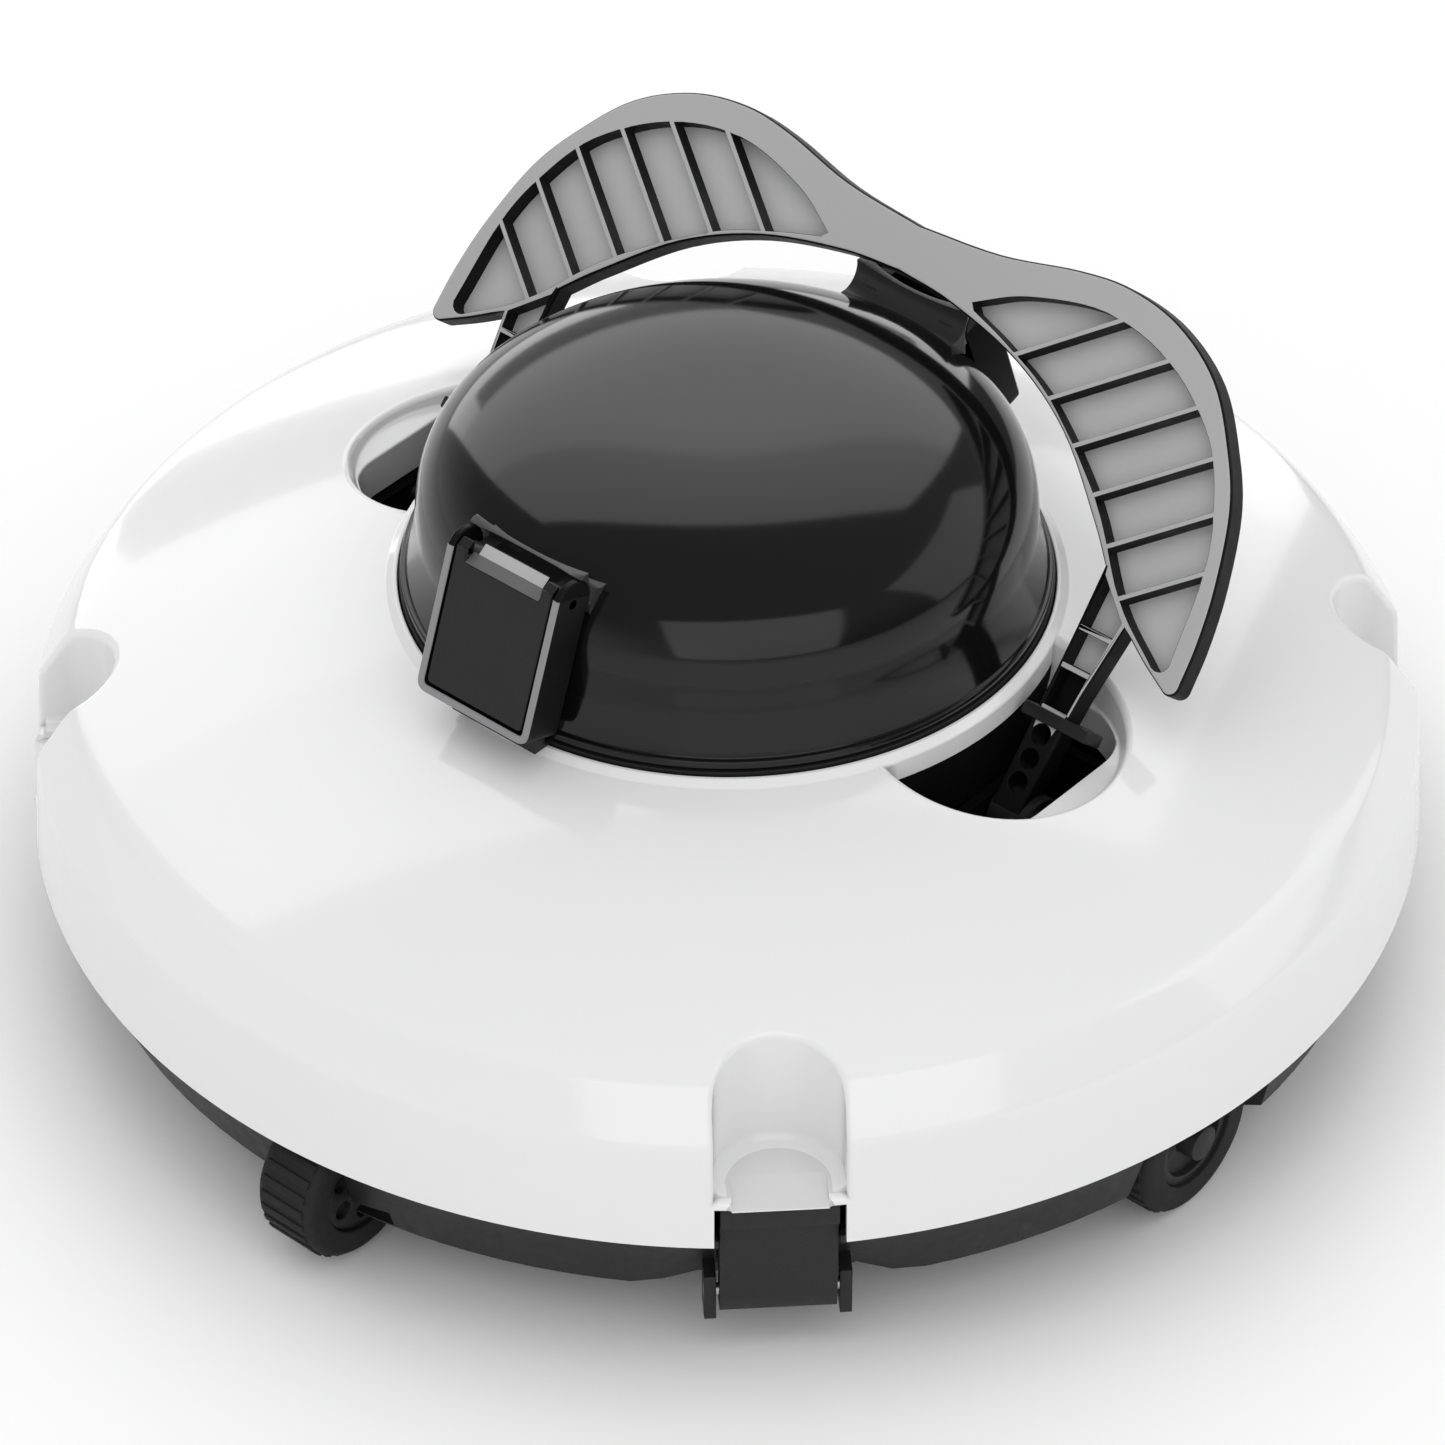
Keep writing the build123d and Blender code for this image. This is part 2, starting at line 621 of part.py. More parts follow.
# Wheels: tyres with tread blocks, hubs, axles and gear motors
def tyre_at(place, x, y, width):
    with BuildPart() as tyre:
        with Locations(along_x(x, y, wheel_z)):
            Cylinder(wheel_radius - tread, width)
            with PolarLocations(wheel_radius - tread, 14):
                Box(2 * tread, 5, width)
            Cylinder(hub_radius, width + 2, mode=Mode.SUBTRACT)
    keep(tyre, place + "_tyre")


for side, place in ((1, "right"), (-1, "left")):
    tyre_at(place, side * drive_x, drive_y, drive_width)
    with BuildPart() as drive_hub:
        with Locations(along_x(side * drive_x, drive_y, wheel_z)):
            Cylinder(hub_radius, drive_width - 2)
        with Locations(along_x(side * (drive_x + 7), drive_y, wheel_z)):
            Cylinder(10, 4, mode=Mode.SUBTRACT)
            Cylinder(4.5, 6)
        with Locations(along_x(side * 131, drive_y, wheel_z)):
            Cylinder(drive_shaft, 26)
    keep(drive_hub, place + "_hub")

    with BuildPart() as gear_motor:
        with Locations((side * 124, drive_y, tray_floor + 0.2)):
            Box(22, 34, 30, align=stand)
        with Locations(along_x(side * 101, drive_y, 34)):
            Cylinder(12, 26)
        with Locations(along_x(side * 127, drive_y, wheel_z)):
            Cylinder(drive_shaft + run, 22, mode=Mode.SUBTRACT)
    keep(gear_motor, place + "_gear_motor")

for side, place in ((-1, "front"), (1, "rear")):
    x, y = -side * idler_x, side * idler_y
    tyre_at(place, x, y, idler_width)
    with BuildPart() as idler_hub:
        with Locations(along_x(x, y, wheel_z)):
            Cylinder(hub_radius, idler_width - 2)
            Cylinder(axle_radius + run, 40, mode=Mode.SUBTRACT)
        with Locations(along_x(x + 7.5, y, wheel_z)):
            with PolarLocations(8, 6):
                Cylinder(2.4, 4, mode=Mode.SUBTRACT)
    keep(idler_hub, place + "_hub")

    with BuildPart() as axle:
        with Locations(along_x(x, y, wheel_z)):
            Cylinder(axle_radius, 24)
    keep(axle, place + "_axle")

# Pump: volute with suction spout, impeller on the motor shaft, outlet nozzle
volute_radius = 28.0
volute_bore = 25.0
volute_low = tray_floor + 0.2
volute_top = 45.0
pump_shaft = 3.0
blade_count = 6
with BuildPart() as pump_volute:
    with Locations((*pump, volute_low)):
        Cylinder(volute_radius, volute_top - volute_low, align=stand)
    with Locations(polar(pump_angle, 82, suction_z) * Rot(90, 0, 0)):
        Cylinder(pipe_radius + 2, 10.6)
    with Locations((*pump, volute_low + 2.8)):
        Cylinder(volute_bore, 22, align=stand, mode=Mode.SUBTRACT)
    with Locations(polar(pump_angle, 83, suction_z) * Rot(90, 0, 0)):
        Cylinder(pipe_radius, 16, mode=Mode.SUBTRACT)
    with Locations(along_y(pump[0], 106, outlet_z)):
        Cylinder(pipe_radius, 14, mode=Mode.SUBTRACT)
    with Locations((*pump, 40)):
        Cylinder(pump_shaft + 0.6, 8, align=stand, mode=Mode.SUBTRACT)
keep(pump_volute, "pump_volute")

with BuildPart() as impeller:
    with Locations((*pump, 23.8)):
        Cylinder(22, 2, align=stand)
    with Locations((*pump, 24)):
        Cylinder(pump_shaft, 36, align=stand)
    with Locations((*pump, 31)):
        Cylinder(2 * pump_shaft, 13)
        with PolarLocations(13, blade_count):
            Box(17, 1.6, 12)
keep(impeller, "impeller")

with BuildPart() as pump_motor:
    with Locations((*pump, volute_top + 0.1)):
        Cylinder(18, 35, align=stand)
    with Locations((*pump, 44)):
        Cylinder(pump_shaft + run, 18, align=stand, mode=Mode.SUBTRACT)
keep(pump_motor, "pump_motor")

with BuildPart() as outlet_nozzle:
    with Locations(along_y(pump[0], 122.6, outlet_z)):
        Cylinder(pipe_radius + 1.5, 29)
        Cylinder(pipe_radius, 40, mode=Mode.SUBTRACT)
    with Locations((*pump, volute_low)):
        Cylinder(volute_radius, 40, align=stand, mode=Mode.SUBTRACT)
keep(outlet_nozzle, "outlet_nozzle")

# Battery and control board in their boxes
box_floor = tray_floor + 0.2
battery_r = 112.0
battery_angle = -135
cell_radius = 9.2
control_r = 108.0
control_angle = -45
with BuildPart() as battery_case:
    with Locations(polar(battery_angle, battery_r, box_floor)):
        Box(72, 42, 32, align=stand)
    with Locations(polar(battery_angle, battery_r, box_floor + 1.8)):
        Box(68, 38, 34, align=stand, mode=Mode.SUBTRACT)
keep(battery_case, "battery_case")

with BuildPart() as battery_pack:
    with Locations(polar(battery_angle, battery_r, 37) * Rot(0, 90, 0)):
        with GridLocations(18, 18, 1, 2):
            Cylinder(cell_radius, 65)
    with Locations(polar(battery_angle, battery_r, box_floor + 2.3)):
        Box(60, 30, 9, align=stand)
keep(battery_pack, "battery_pack")

with BuildPart() as control_box:
    with Locations(polar(control_angle, control_r, box_floor)):
        Box(66, 44, 22, align=stand)
    with Locations(polar(control_angle, control_r, box_floor + 1.8)):
        Box(62, 40, 24, align=stand, mode=Mode.SUBTRACT)
keep(control_box, "control_box")

with BuildPart() as control_board:
    with Locations(polar(control_angle, control_r, 23.2)):
        Box(58, 36, 1.6, align=stand)
    with Locations(polar(control_angle, 106, 24, 10), polar(control_angle, 112, 24, -14)):
        Box(12, 12, 8, align=stand)
    with Locations(polar(control_angle, control_r, 19.2, 24), polar(control_angle, control_r, 19.2, -24)):
        Box(4, 4, 4.4, align=stand)
keep(control_board, "control_board")

# Rear sockets: charging inlet, button in its bezel, lamp
inlet_bore = 4.0
button_radius = 5.0
with BuildPart() as charge_socket:
    with Locations(along_y(0, 157.4, socket_z)):
        Cylinder(socket_radius - 0.2, 22.4)
    with Locations(along_y(0, 148, socket_z)):
        Cylinder(8.6, 4)
    with Locations(along_y(0, 162.6, socket_z)):
        Cylinder(inlet_bore, 12, mode=Mode.SUBTRACT)
keep(charge_socket, "charge_socket")

with BuildPart() as button_bezel:
    with Locations(along_y(socket_x, 159.6, socket_z)):
        Cylinder(socket_radius - 0.2, 13.2)
        Cylinder(button_radius + run, 30, mode=Mode.SUBTRACT)
    with Locations(along_y(socket_x, 165.6, socket_z)):
        Cylinder(6.3, 4, mode=Mode.SUBTRACT)
keep(button_bezel, "button_bezel")

with BuildPart() as power_button:
    with Locations(along_y(socket_x, 158.4, socket_z)):
        Cylinder(button_radius, 14.8)
    with Locations(along_y(socket_x, 166, socket_z)):
        Cylinder(5.9, 1.2)
keep(power_button, "power_button")

with BuildPart() as status_lamp:
    with Locations(along_y(-socket_x, 161.4, socket_z)):
        Cylinder(lamp_radius - 0.1, 9.2)
keep(status_lamp, "status_lamp")
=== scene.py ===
import json
import math
import bmesh
import bpy
import numpy as np
from mathutils import Matrix, Vector
from mathutils.geometry import delaunay_2d_cdt


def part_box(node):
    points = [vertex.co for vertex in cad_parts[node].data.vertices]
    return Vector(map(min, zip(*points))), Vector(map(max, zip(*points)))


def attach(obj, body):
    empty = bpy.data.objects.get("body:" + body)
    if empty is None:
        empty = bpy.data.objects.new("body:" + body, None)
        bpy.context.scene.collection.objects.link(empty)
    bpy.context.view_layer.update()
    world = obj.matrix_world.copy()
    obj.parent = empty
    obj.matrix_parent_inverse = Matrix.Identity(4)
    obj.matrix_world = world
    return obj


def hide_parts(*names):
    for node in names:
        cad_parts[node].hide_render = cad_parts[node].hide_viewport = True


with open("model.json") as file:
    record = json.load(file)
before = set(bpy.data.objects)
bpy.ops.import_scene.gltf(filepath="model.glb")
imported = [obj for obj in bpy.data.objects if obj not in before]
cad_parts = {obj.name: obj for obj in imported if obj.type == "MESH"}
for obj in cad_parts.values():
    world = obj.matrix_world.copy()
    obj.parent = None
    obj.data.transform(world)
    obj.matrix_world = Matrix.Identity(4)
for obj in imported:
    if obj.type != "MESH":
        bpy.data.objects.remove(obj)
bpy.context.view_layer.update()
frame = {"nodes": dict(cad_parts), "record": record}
nodes = frame["nodes"]
mm = 0.001
scene = bpy.context.scene


class Wire:
    def __init__(self, tree, socket):
        self.tree = tree
        self.socket = socket

    def node(self, kind, inputs, out=0, **settings):
        made = self.tree.nodes.new(kind)
        for key, value in settings.items():
            setattr(made, key, value)
        for key, value in inputs.items():
            if isinstance(value, Wire):
                self.tree.links.new(value.socket, made.inputs[key])
            else:
                made.inputs[key].default_value = value
        return Wire(self.tree, made.outputs[out])

    def math(self, operation, first, second):
        return self.node("ShaderNodeMath", {0: first, 1: second}, operation=operation)

    def __add__(self, other):
        return self.math("ADD", self, other)

    def __radd__(self, other):
        return self.math("ADD", other, self)

    def __sub__(self, other):
        return self.math("SUBTRACT", self, other)

    def __rsub__(self, other):
        return self.math("SUBTRACT", other, self)

    def __mul__(self, other):
        return self.math("MULTIPLY", self, other)

    def __rmul__(self, other):
        return self.math("MULTIPLY", other, self)

    def ramp(self, low, high, start=0.0, end=1.0):
        return self.node("ShaderNodeMapRange", {0: self, 1: start, 2: end, 3: low, 4: high})

    def between(self, first, second):
        return self.node("ShaderNodeMix", {0: self, 6: first, 7: second}, out=2, data_type="RGBA")


def newMaterial(name):
    material = bpy.data.materials.new(name)
    material.use_nodes = True
    tree = material.node_tree
    shader = tree.nodes["Principled BSDF"]
    place = Wire(tree, tree.nodes.new("ShaderNodeTexCoord").outputs["Object"])
    return material, tree, shader, place


def plug(tree, wire, shader, name):
    tree.links.new(wire.socket, shader.inputs[name])


# Moulded finish: broad tone drift, fine speckle in the roughness and a skin of grain
def moulded(name, tone, drift, rough, spread, grain, lift, coat=0.0, shine=0.5):
    material, tree, shader, place = newMaterial(name)
    broad = place.node("ShaderNodeTexNoise", {"Vector": place, "Scale": 9.0, "Detail": 3.0})
    fine = place.node("ShaderNodeTexNoise", {"Vector": place, "Scale": 320.0, "Detail": 4.0})
    skin = place.node("ShaderNodeTexNoise", {"Vector": place, "Scale": grain, "Detail": 2.0})
    first = (*tone, 1.0)
    second = (*[c * drift for c in tone], 1.0)
    plug(tree, broad.ramp(0.0, 1.0, 0.3, 0.7).between(first, second), shader, "Base Color")
    worn = broad * 0.5 + fine * 0.5
    plug(tree, worn.ramp(rough, rough + spread, 0.35, 0.65), shader, "Roughness")
    bump = skin.node("ShaderNodeBump", {"Height": skin, "Strength": lift, "Distance": 0.0002})
    plug(tree, bump, shader, "Normal")
    shader.inputs["Coat Weight"].default_value = coat
    shader.inputs["Coat Roughness"].default_value = 0.04
    shader.inputs["Specular IOR Level"].default_value = shine
    return material


# Drawn metal: streaks along one axis
def drawnMetal(name, tone, rough):
    material, tree, shader, place = newMaterial(name)
    stretch = (30.0, 1400.0, 1400.0)
    stretched = place.node("ShaderNodeVectorMath", {0: place, 1: stretch}, operation="MULTIPLY")
    streak = place.node("ShaderNodeTexNoise", {"Vector": stretched, "Scale": 1.0, "Detail": 3.0})
    plug(tree, streak.between((*tone, 1.0), (*[c * 0.8 for c in tone], 1.0)), shader, "Base Color")
    plug(tree, streak.ramp(rough, rough + 0.18), shader, "Roughness")
    shader.inputs["Metallic"].default_value = 1.0
    return material


# Woven screen: two crossed wave patterns open it up
def wovenScreen(name, tone):
    material, tree, shader, place = newMaterial(name)
    rise = place.node("ShaderNodeSeparateXYZ", {0: place}, out=2)
    turn = place.node("ShaderNodeTexGradient", {"Vector": place}, out=1, gradient_type="RADIAL")
    rows = rise.math("SINE", rise * 6283.0, 0.0)
    columns = turn.math("SINE", turn * 2400.0, 0.0)
    cloth = rows.math("MAXIMUM", rows, columns)
    plug(tree, cloth.ramp(0.15, 1.0, 0.2, 0.5), shader, "Alpha")
    pale = [c * 1.3 for c in tone]
    plug(tree, cloth.ramp(0.0, 1.0).between((*tone, 1.0), (*pale, 1.0)), shader, "Base Color")
    shader.inputs["Roughness"].default_value = 0.6
    return material


finishes = {
    "white_gloss": moulded("whiteGloss", (0.80, 0.80, 0.805), 0.985, 0.10, 0.05, 160.0, 0.012, coat=0.3),
    "black_gloss": moulded("blackGloss", (0.004, 0.004, 0.004), 1.4, 0.09, 0.03, 160.0, 0.004, shine=0.35),
    "black_matte": moulded("blackSatin", (0.010, 0.010, 0.011), 1.5, 0.36, 0.14, 1500.0, 0.22, shine=0.28),
    "grey_plastic": moulded("greySatin", (0.36, 0.36, 0.365), 0.95, 0.34, 0.10, 1800.0, 0.10),
    "tyre_rubber": moulded("tyreRubber", (0.010, 0.010, 0.010), 1.7, 0.6, 0.2, 900.0, 0.4, shine=0.25),
    "seal_rubber": moulded("sealRubber", (0.03, 0.03, 0.03), 1.4, 0.55, 0.2, 1200.0, 0.3),
    "steel": drawnMetal("drawnSteel", (0.58, 0.58, 0.6), 0.22),
    "screen": wovenScreen("wovenScreen", (0.48, 0.48, 0.5)),
    "impeller_plastic": moulded("impellerPlastic", (0.66, 0.66, 0.63), 0.9, 0.35, 0.12, 900.0, 0.1),
    "cell_wrap": moulded("cellWrap", (0.07, 0.15, 0.4), 0.8, 0.28, 0.1, 500.0, 0.08),
    "board_green": moulded("boardGreen", (0.02, 0.15, 0.06), 0.7, 0.32, 0.1, 2200.0, 0.2),
    "button_grey": moulded("buttonGrey", (0.36, 0.36, 0.38), 0.9, 0.4, 0.1, 1500.0, 0.15),
    "lamp_lens": moulded("lampLens", (0.25, 0.5, 0.8), 0.8, 0.1, 0.05, 300.0, 0.02, coat=0.8),
}
# Near-black painted on the lower well shafts, the ring wall below its white band and the pivot cups, as the
# shade of a deep hole
wellShadeBlack = moulded("wellShadeBlack", (0.002, 0.002, 0.002), 1.4, 0.7, 0.2, 900.0, 0.2, shine=0.1)
greyFace = moulded("greyFace", (0.40, 0.40, 0.405), 0.97, 0.38, 0.08, 1800.0, 0.08)
# Latch frame grey: partly the frame's own grey, partly a painted highlight along its rounded rim
rimGreyAndHighlight = moulded("rimGreyAndHighlight", (0.24, 0.24, 0.245), 0.95, 0.3, 0.1, 1500.0, 0.1)
pocketFace = moulded("pocketFace", (0.50, 0.50, 0.505), 0.97, 0.38, 0.08, 1800.0, 0.08)
# Near-black for walls and sides, and also painted on the handle's legs as shade
darkWallAndShade = moulded("darkWallAndShade", (0.005, 0.005, 0.005), 1.4, 0.42, 0.12, 1500.0, 0.12, shine=0.1)
# Hull white darkened as painted shade, for the notch floors, the clasp slots and the well recesses
whiteRecessShade = moulded("whiteRecessShade", (0.66, 0.66, 0.665), 0.985, 0.14, 0.05, 160.0, 0.012)
# Grip strip tones set by face direction: a mid grey on the sloping front as painted shade and a light grey on
# the top as painted highlight
gripFront = moulded("gripFront", (0.085, 0.085, 0.088), 0.95, 0.35, 0.1, 1500.0, 0.1)
gripTop = moulded("gripTop", (0.40, 0.40, 0.405), 0.96, 0.3, 0.1, 1500.0, 0.1)
bracketGrey = moulded("bracketGrey", (0.034, 0.034, 0.035), 1.3, 0.36, 0.12, 1500.0, 0.15, shine=0.3)
blackSteel = drawnMetal("blackSteel", (0.03, 0.03, 0.032), 0.35)
print("stage materials")

slotOf = {}
for entry in frame["record"]["subparts"]:
    slotOf[entry["node"]] = entry.get("material_slot") or entry.get("material")
for label, thing in nodes.items():
    thing.data.materials.clear()
    thing.data.materials.append(finishes[slotOf[label]])


# A surface built row by row, with its own normals
class Skin:
    def __init__(self):
        self.points = []
        self.normals = []
        self.faces = []
        self.kinds = []
        self.flat = set()
        self.thin = {}

    def row(self, points, normals):
        first = len(self.points)
        self.points += [Vector(p) for p in points]
        self.normals += [Vector(n).normalized() for n in normals]
        return list(range(first, len(self.points)))

    def face(self, corners, kind=0, flat=False):
        clean = [c for i, c in enumerate(corners) if c != corners[i - 1]]
        if len(set(clean)) == len(clean) and len(clean) > 2:
            if flat:
                self.flat.add(len(self.faces))
            self.faces.append(clean)
            self.kinds.append(kind)

    def band(self, low, high, kind=0, closed=True, gap=()):
        count = len(low)
        for i in range(count if closed else count - 1):
            j = (i + 1) % count
            if i not in gap:
                self.face([low[i], low[j], high[j], high[i]], kind)

    def thicken(self, wall):
        count = len(self.points)
        pairs = list(zip(self.points, self.normals))
        self.points += [p - n * self.thin.get(i, wall) for i, (p, n) in enumerate(pairs)]
        self.normals += [-n for n in self.normals]
        once = {}
        for corners in self.faces:
            for a, b in zip(corners, corners[1:] + corners[:1]):
                key = (min(a, b), max(a, b))
                once[key] = None if key in once else (a, b)
        for corners, kind in list(zip(self.faces, self.kinds)):
            self.face([c + count for c in reversed(corners)], kind)
        for edge in once.values():
            if edge:
                a, b = edge
                self.face([b, a, a + count, b + count], 0, True)

    def build(self, name, materials):
        mesh = bpy.data.meshes.new(name)
        mesh.from_pydata([p * mm for p in self.points], [], self.faces)
        for polygon, kind in zip(mesh.polygons, self.kinds):
            polygon.material_index = kind
            polygon.use_smooth = True
        work = bmesh.new()
        work.from_mesh(mesh)
        bmesh.ops.recalc_face_normals(work, faces=work.faces)
        number = work.verts.layers.int.new("number")
        for corner in work.verts:
            corner[number] = corner.index
        bmesh.ops.delete(work, geom=[v for v in work.verts if not v.link_faces], context="VERTS")
        work.to_mesh(mesh)
        work.free()
        first = mesh.attributes["number"]
        given = []
        for polygon in mesh.polygons:
            for corner in polygon.vertices:
                flat = polygon.index in self.flat
                given.append(polygon.normal if flat else self.normals[first.data[corner].value])
        mesh.attributes.remove(first)
        mesh.normals_split_custom_set(given)
        return addObject(name, mesh, materials)


def addObject(name, mesh, materials):
    for material in materials:
        mesh.materials.append(material)
    thing = bpy.data.objects.new(name, mesh)
    scene.collection.objects.link(thing)
    return thing


# Which points lie inside a closed loop
def inLoop(points, loop):
    x, y = points[:, 0], points[:, 1]
    inside = np.zeros(len(points), bool)
    for (ax, ay), (bx, by) in zip(loop, loop[1:] + loop[:1]):
        if ay != by:
            inside ^= ((ay > y) != (by > y)) & (x < (bx - ax) * (y - ay) / (by - ay) + ax)
    return inside


# Triangles between an outer loop and its holes, as numbers of the given points
def fillArea(outer, holes, extra=()):
    loops = [list(map(tuple, loop)) for loop in [outer] + holes]
    flat = [p for loop in loops for p in loop] + [tuple(p) for p in extra]
    edges = []
    first = 0
    for loop in loops:
        edges += [(first + i, first + (i + 1) % len(loop)) for i in range(len(loop))]
        first += len(loop)
    made, _, triangles, origin, _, _ = delaunay_2d_cdt([Vector(p) for p in flat], edges, [], 0, 1e-6)
    spots = np.array([(p.x, p.y) for p in made])
    middles = spots[np.array(triangles)].mean(axis=1)
    kept = inLoop(middles, loops[0])
    for loop in loops[1:]:
        kept &= ~inLoop(middles, loop)
    return [[origin[c][0] for c in t] for t, ok in zip(triangles, kept) if ok and all(origin[c] for c in t)]


# Polyline whose corners are rounded; each entry is (across, up, radius)
def roundLine(corners, steps=6):
    line = []
    for i, (x, y, radius) in enumerate(corners):
        here = Vector((x, y))
        if radius == 0 or i in (0, len(corners) - 1):
            line.append(here)
            continue
        back = (Vector(corners[i - 1][:2]) - here).normalized()
        ahead = (Vector(corners[i + 1][:2]) - here).normalized()
        half = back.angle(ahead) / 2
        cut = radius / math.tan(half)
        start, end = here + back * cut, here + ahead * cut
        for k in range(steps + 1):
            w = k / steps
            line.append(start * (1 - w) ** 2 + here * 2 * w * (1 - w) + end * w * w)
    return line


# Arc through three points
def arcLine(start, middle, end, count):
    (ax, ay), (bx, by), (cx, cy) = start, middle, end
    d = 2 * (ax * (by - cy) + bx * (cy - ay) + cx * (ay - by))
    ox = ((ax**2 + ay**2) * (by - cy) + (bx**2 + by**2) * (cy - ay) + (cx**2 + cy**2) * (ay - by)) / d
    oy = ((ax**2 + ay**2) * (cx - bx) + (bx**2 + by**2) * (ax - cx) + (cx**2 + cy**2) * (bx - ax)) / d
    radius = math.hypot(ax - ox, ay - oy)
    first = math.atan2(ay - oy, ax - ox)
    last = math.atan2(cy - oy, cx - ox)
    via = math.atan2(by - oy, bx - ox)
    if (via - first) % math.tau > (last - first) % math.tau:
        sweep = -((first - last) % math.tau)
    else:
        sweep = (last - first) % math.tau
    turns = [first + sweep * k / count for k in range(count + 1)]
    return [(ox + radius * math.cos(a), oy + radius * math.sin(a)) for a in turns]


# Smooth line through points
def through(points, steps=6):
    line = []
    ends = [2 * Vector(points[0]) - Vector(points[1])] + [Vector(p) for p in points]
    ends.append(2 * Vector(points[-1]) - Vector(points[-2]))
    for a, b, c, d in zip(ends, ends[1:], ends[2:], ends[3:]):
        for k in range(steps):
            w = k / steps
            line.append(0.5 * (2 * b + (c - a) * w + (2 * a - 5 * b + 4 * c - d) * w**2
                               + (3 * b - a - 3 * c + d) * w**3))
    line.append(Vector(points[-1]))
    return line


# Hull: one turned profile, cut by notches, handle wells and rear sockets
hull = {
    "throat": 79.2, "throatRows": (78.0, 84.0, 90.0), "lipTop": 101.5, "lipOut": 80.2, "crown": (82.0, 100.0),
    "middle": (121.0, 91.2), "bevelTop": (160.0, 78.9), "bevelLow": (168.2, 66.4), "edge": (170.0, 38.0),
    "wallRows": ((168.6, 60.0), (169.0, 53.6), (169.4, 47.4)), "cornerRound": 7.0, "wall": 1.3,
    "columns": 288, "acrossDegree": 2.6, "near": 4.0, "clear": 0.9,  # spacing of the surface's points
    "notchAngles": (45, 135, 225, 315), "notchRadius": 15.0, "notchCentre": 163.0, "notchFloor": 51.0,
    "notchRim": 1.8, "scoop": 3.0, "scoopSteps": 5, "sideSteps": 12, "archSteps": 24,
    "mouthTop": 49.0, "mouthRadius": 169.6, "notchFront": (13, 11, 7.5, 4, 0, -4, -7.5, -11, -13),
    "slotBack": 159.6, "slotFront": 169.3, "slotDrop": 2.0, "slotWall": 0.5, "slotSteps": 6,
    "wellAngles": (90, 270), "wellCentre": 84.0, "wellLow": (28.8, 90.0), "wellHigh": (34.0, 103.0),
    "wellFloor": 90.0, "floorSoft": 0.6, "wellRim": 1.4, "rimLean": 0.4, "wellSteps": 48, "wellStart": 95.0,
    "ring": 82.0, "ringRim": 0.5, "ringSteps": 16, "ringWhite": 94.5,
    "gapOut": 105.5, "gapHalf": 26.5, "gapCorner": 14.0, "gapEdge": 0.6, "gapClear": 0.7,
    "shaftLow": 79.0, "shaftEnd": 72.0,
    "sockets": ((0.0, 7.5), (28.0, 7.5), (-28.0, 4.2)), "socketHeight": 57.5, "socketRim": 0.6,
    "socketDepth": 3.5, "socketSteps": 32,
}
crownArc = arcLine(hull["crown"], hull["middle"], hull["bevelTop"], 14)
corners = [(hull["throat"], z, 0) for z in hull["throatRows"]]
corners += [(hull["throat"], hull["lipTop"], 0.4), (hull["lipOut"], hull["lipTop"], 0.5), (*crownArc[0], 1.2)]
corners += [(x, y, 0) for x, y in crownArc[1:-1]]
corners += [(*hull["bevelTop"], hull["cornerRound"]), (*hull["bevelLow"], hull["cornerRound"])]
corners += [(*spot, 0) for spot in (*hull["wallRows"], hull["edge"])]
hullLine = roundLine(corners)
lineR = np.array([p.x for p in hullLine])
lineZ = np.array([p.y for p in hullLine])
lineU = np.concatenate([[0], np.cumsum(np.hypot(np.diff(lineR), np.diff(lineZ)))])
tangent = np.stack([np.gradient(lineR, lineU), np.gradient(lineZ, lineU)], 1)
tangent /= np.linalg.norm(tangent, axis=1)[:, None]
lineN = np.stack([-tangent[:, 1], tangent[:, 0]], 1)
lipRow = int(np.argmax(lineZ))


# Spot and normal on the hull, at an angle and a length along the profile
def hullAt(angle, u):
    r = np.interp(u, lineU, lineR)
    a = math.radians(angle)
    across = Vector((math.sin(a), -math.cos(a), 0))
    normal = across * np.interp(u, lineU, lineN[:, 0]) + Vector((0, 0, np.interp(u, lineU, lineN[:, 1])))
    return across * r + Vector((0, 0, np.interp(u, lineU, lineZ))), normal.normalized()


def hullByRadius(r):
    return float(np.interp(r, lineR[lipRow:], lineU[lipRow:]))


def hullByHeight(z):
    return float(np.interp(-z, -lineZ[lipRow:], lineU[lipRow:]))


def hullSpot(angle, u):
    return (angle * hull["acrossDegree"], u)


def tangentSpot(centre, t, u):
    return centre + math.degrees(math.asin(t / np.interp(u, lineU, lineR))), u


def planSpot(x, y):
    return math.degrees(math.atan2(x, -y)) % 360, hullByRadius(math.hypot(x, y))


shell = Skin()
hullHoles = []


# One rounded rim: rows from the skin over the edge to the wall
def rimRows(skin, outer, edge, inner, outerNormals, innerNormals, steps=4):
    rows = []
    for k in range(1, steps + 1):
        w = k / steps
        spots = [a * (1 - w) ** 2 + b * 2 * w * (1 - w) + c * w * w for a, b, c in zip(outer, edge, inner)]
        leans = [m * (1 - w) + n * w for m, n in zip(outerNormals, innerNormals)]
        rows.append(skin.row(spots, leans))
    return rows


def notchLine(centre, radius, floor):
    top = hullByRadius(math.hypot(hull["notchCentre"], radius))
    low = hullByHeight(floor)
    side, arch = hull["sideSteps"], hull["archSteps"]
    line = [tangentSpot(centre, -radius, low + (top - low) * k / side) for k in range(side)]
    for k in range(arch + 1):
        a = math.pi * k / arch
        t = -radius * math.cos(a)
        r = math.hypot(t, hull["notchCentre"] - radius * math.sin(a))
        line.append((centre + math.degrees(math.asin(t / r)), hullByRadius(r)))
    line += [tangentSpot(centre, radius, top + (low - top) * (k + 1) / side) for k in range(side)]
    sides = len(line)
    line += [tangentSpot(centre, t * radius / hull["notchRadius"], low) for t in hull["notchFront"]]
    return line, sides


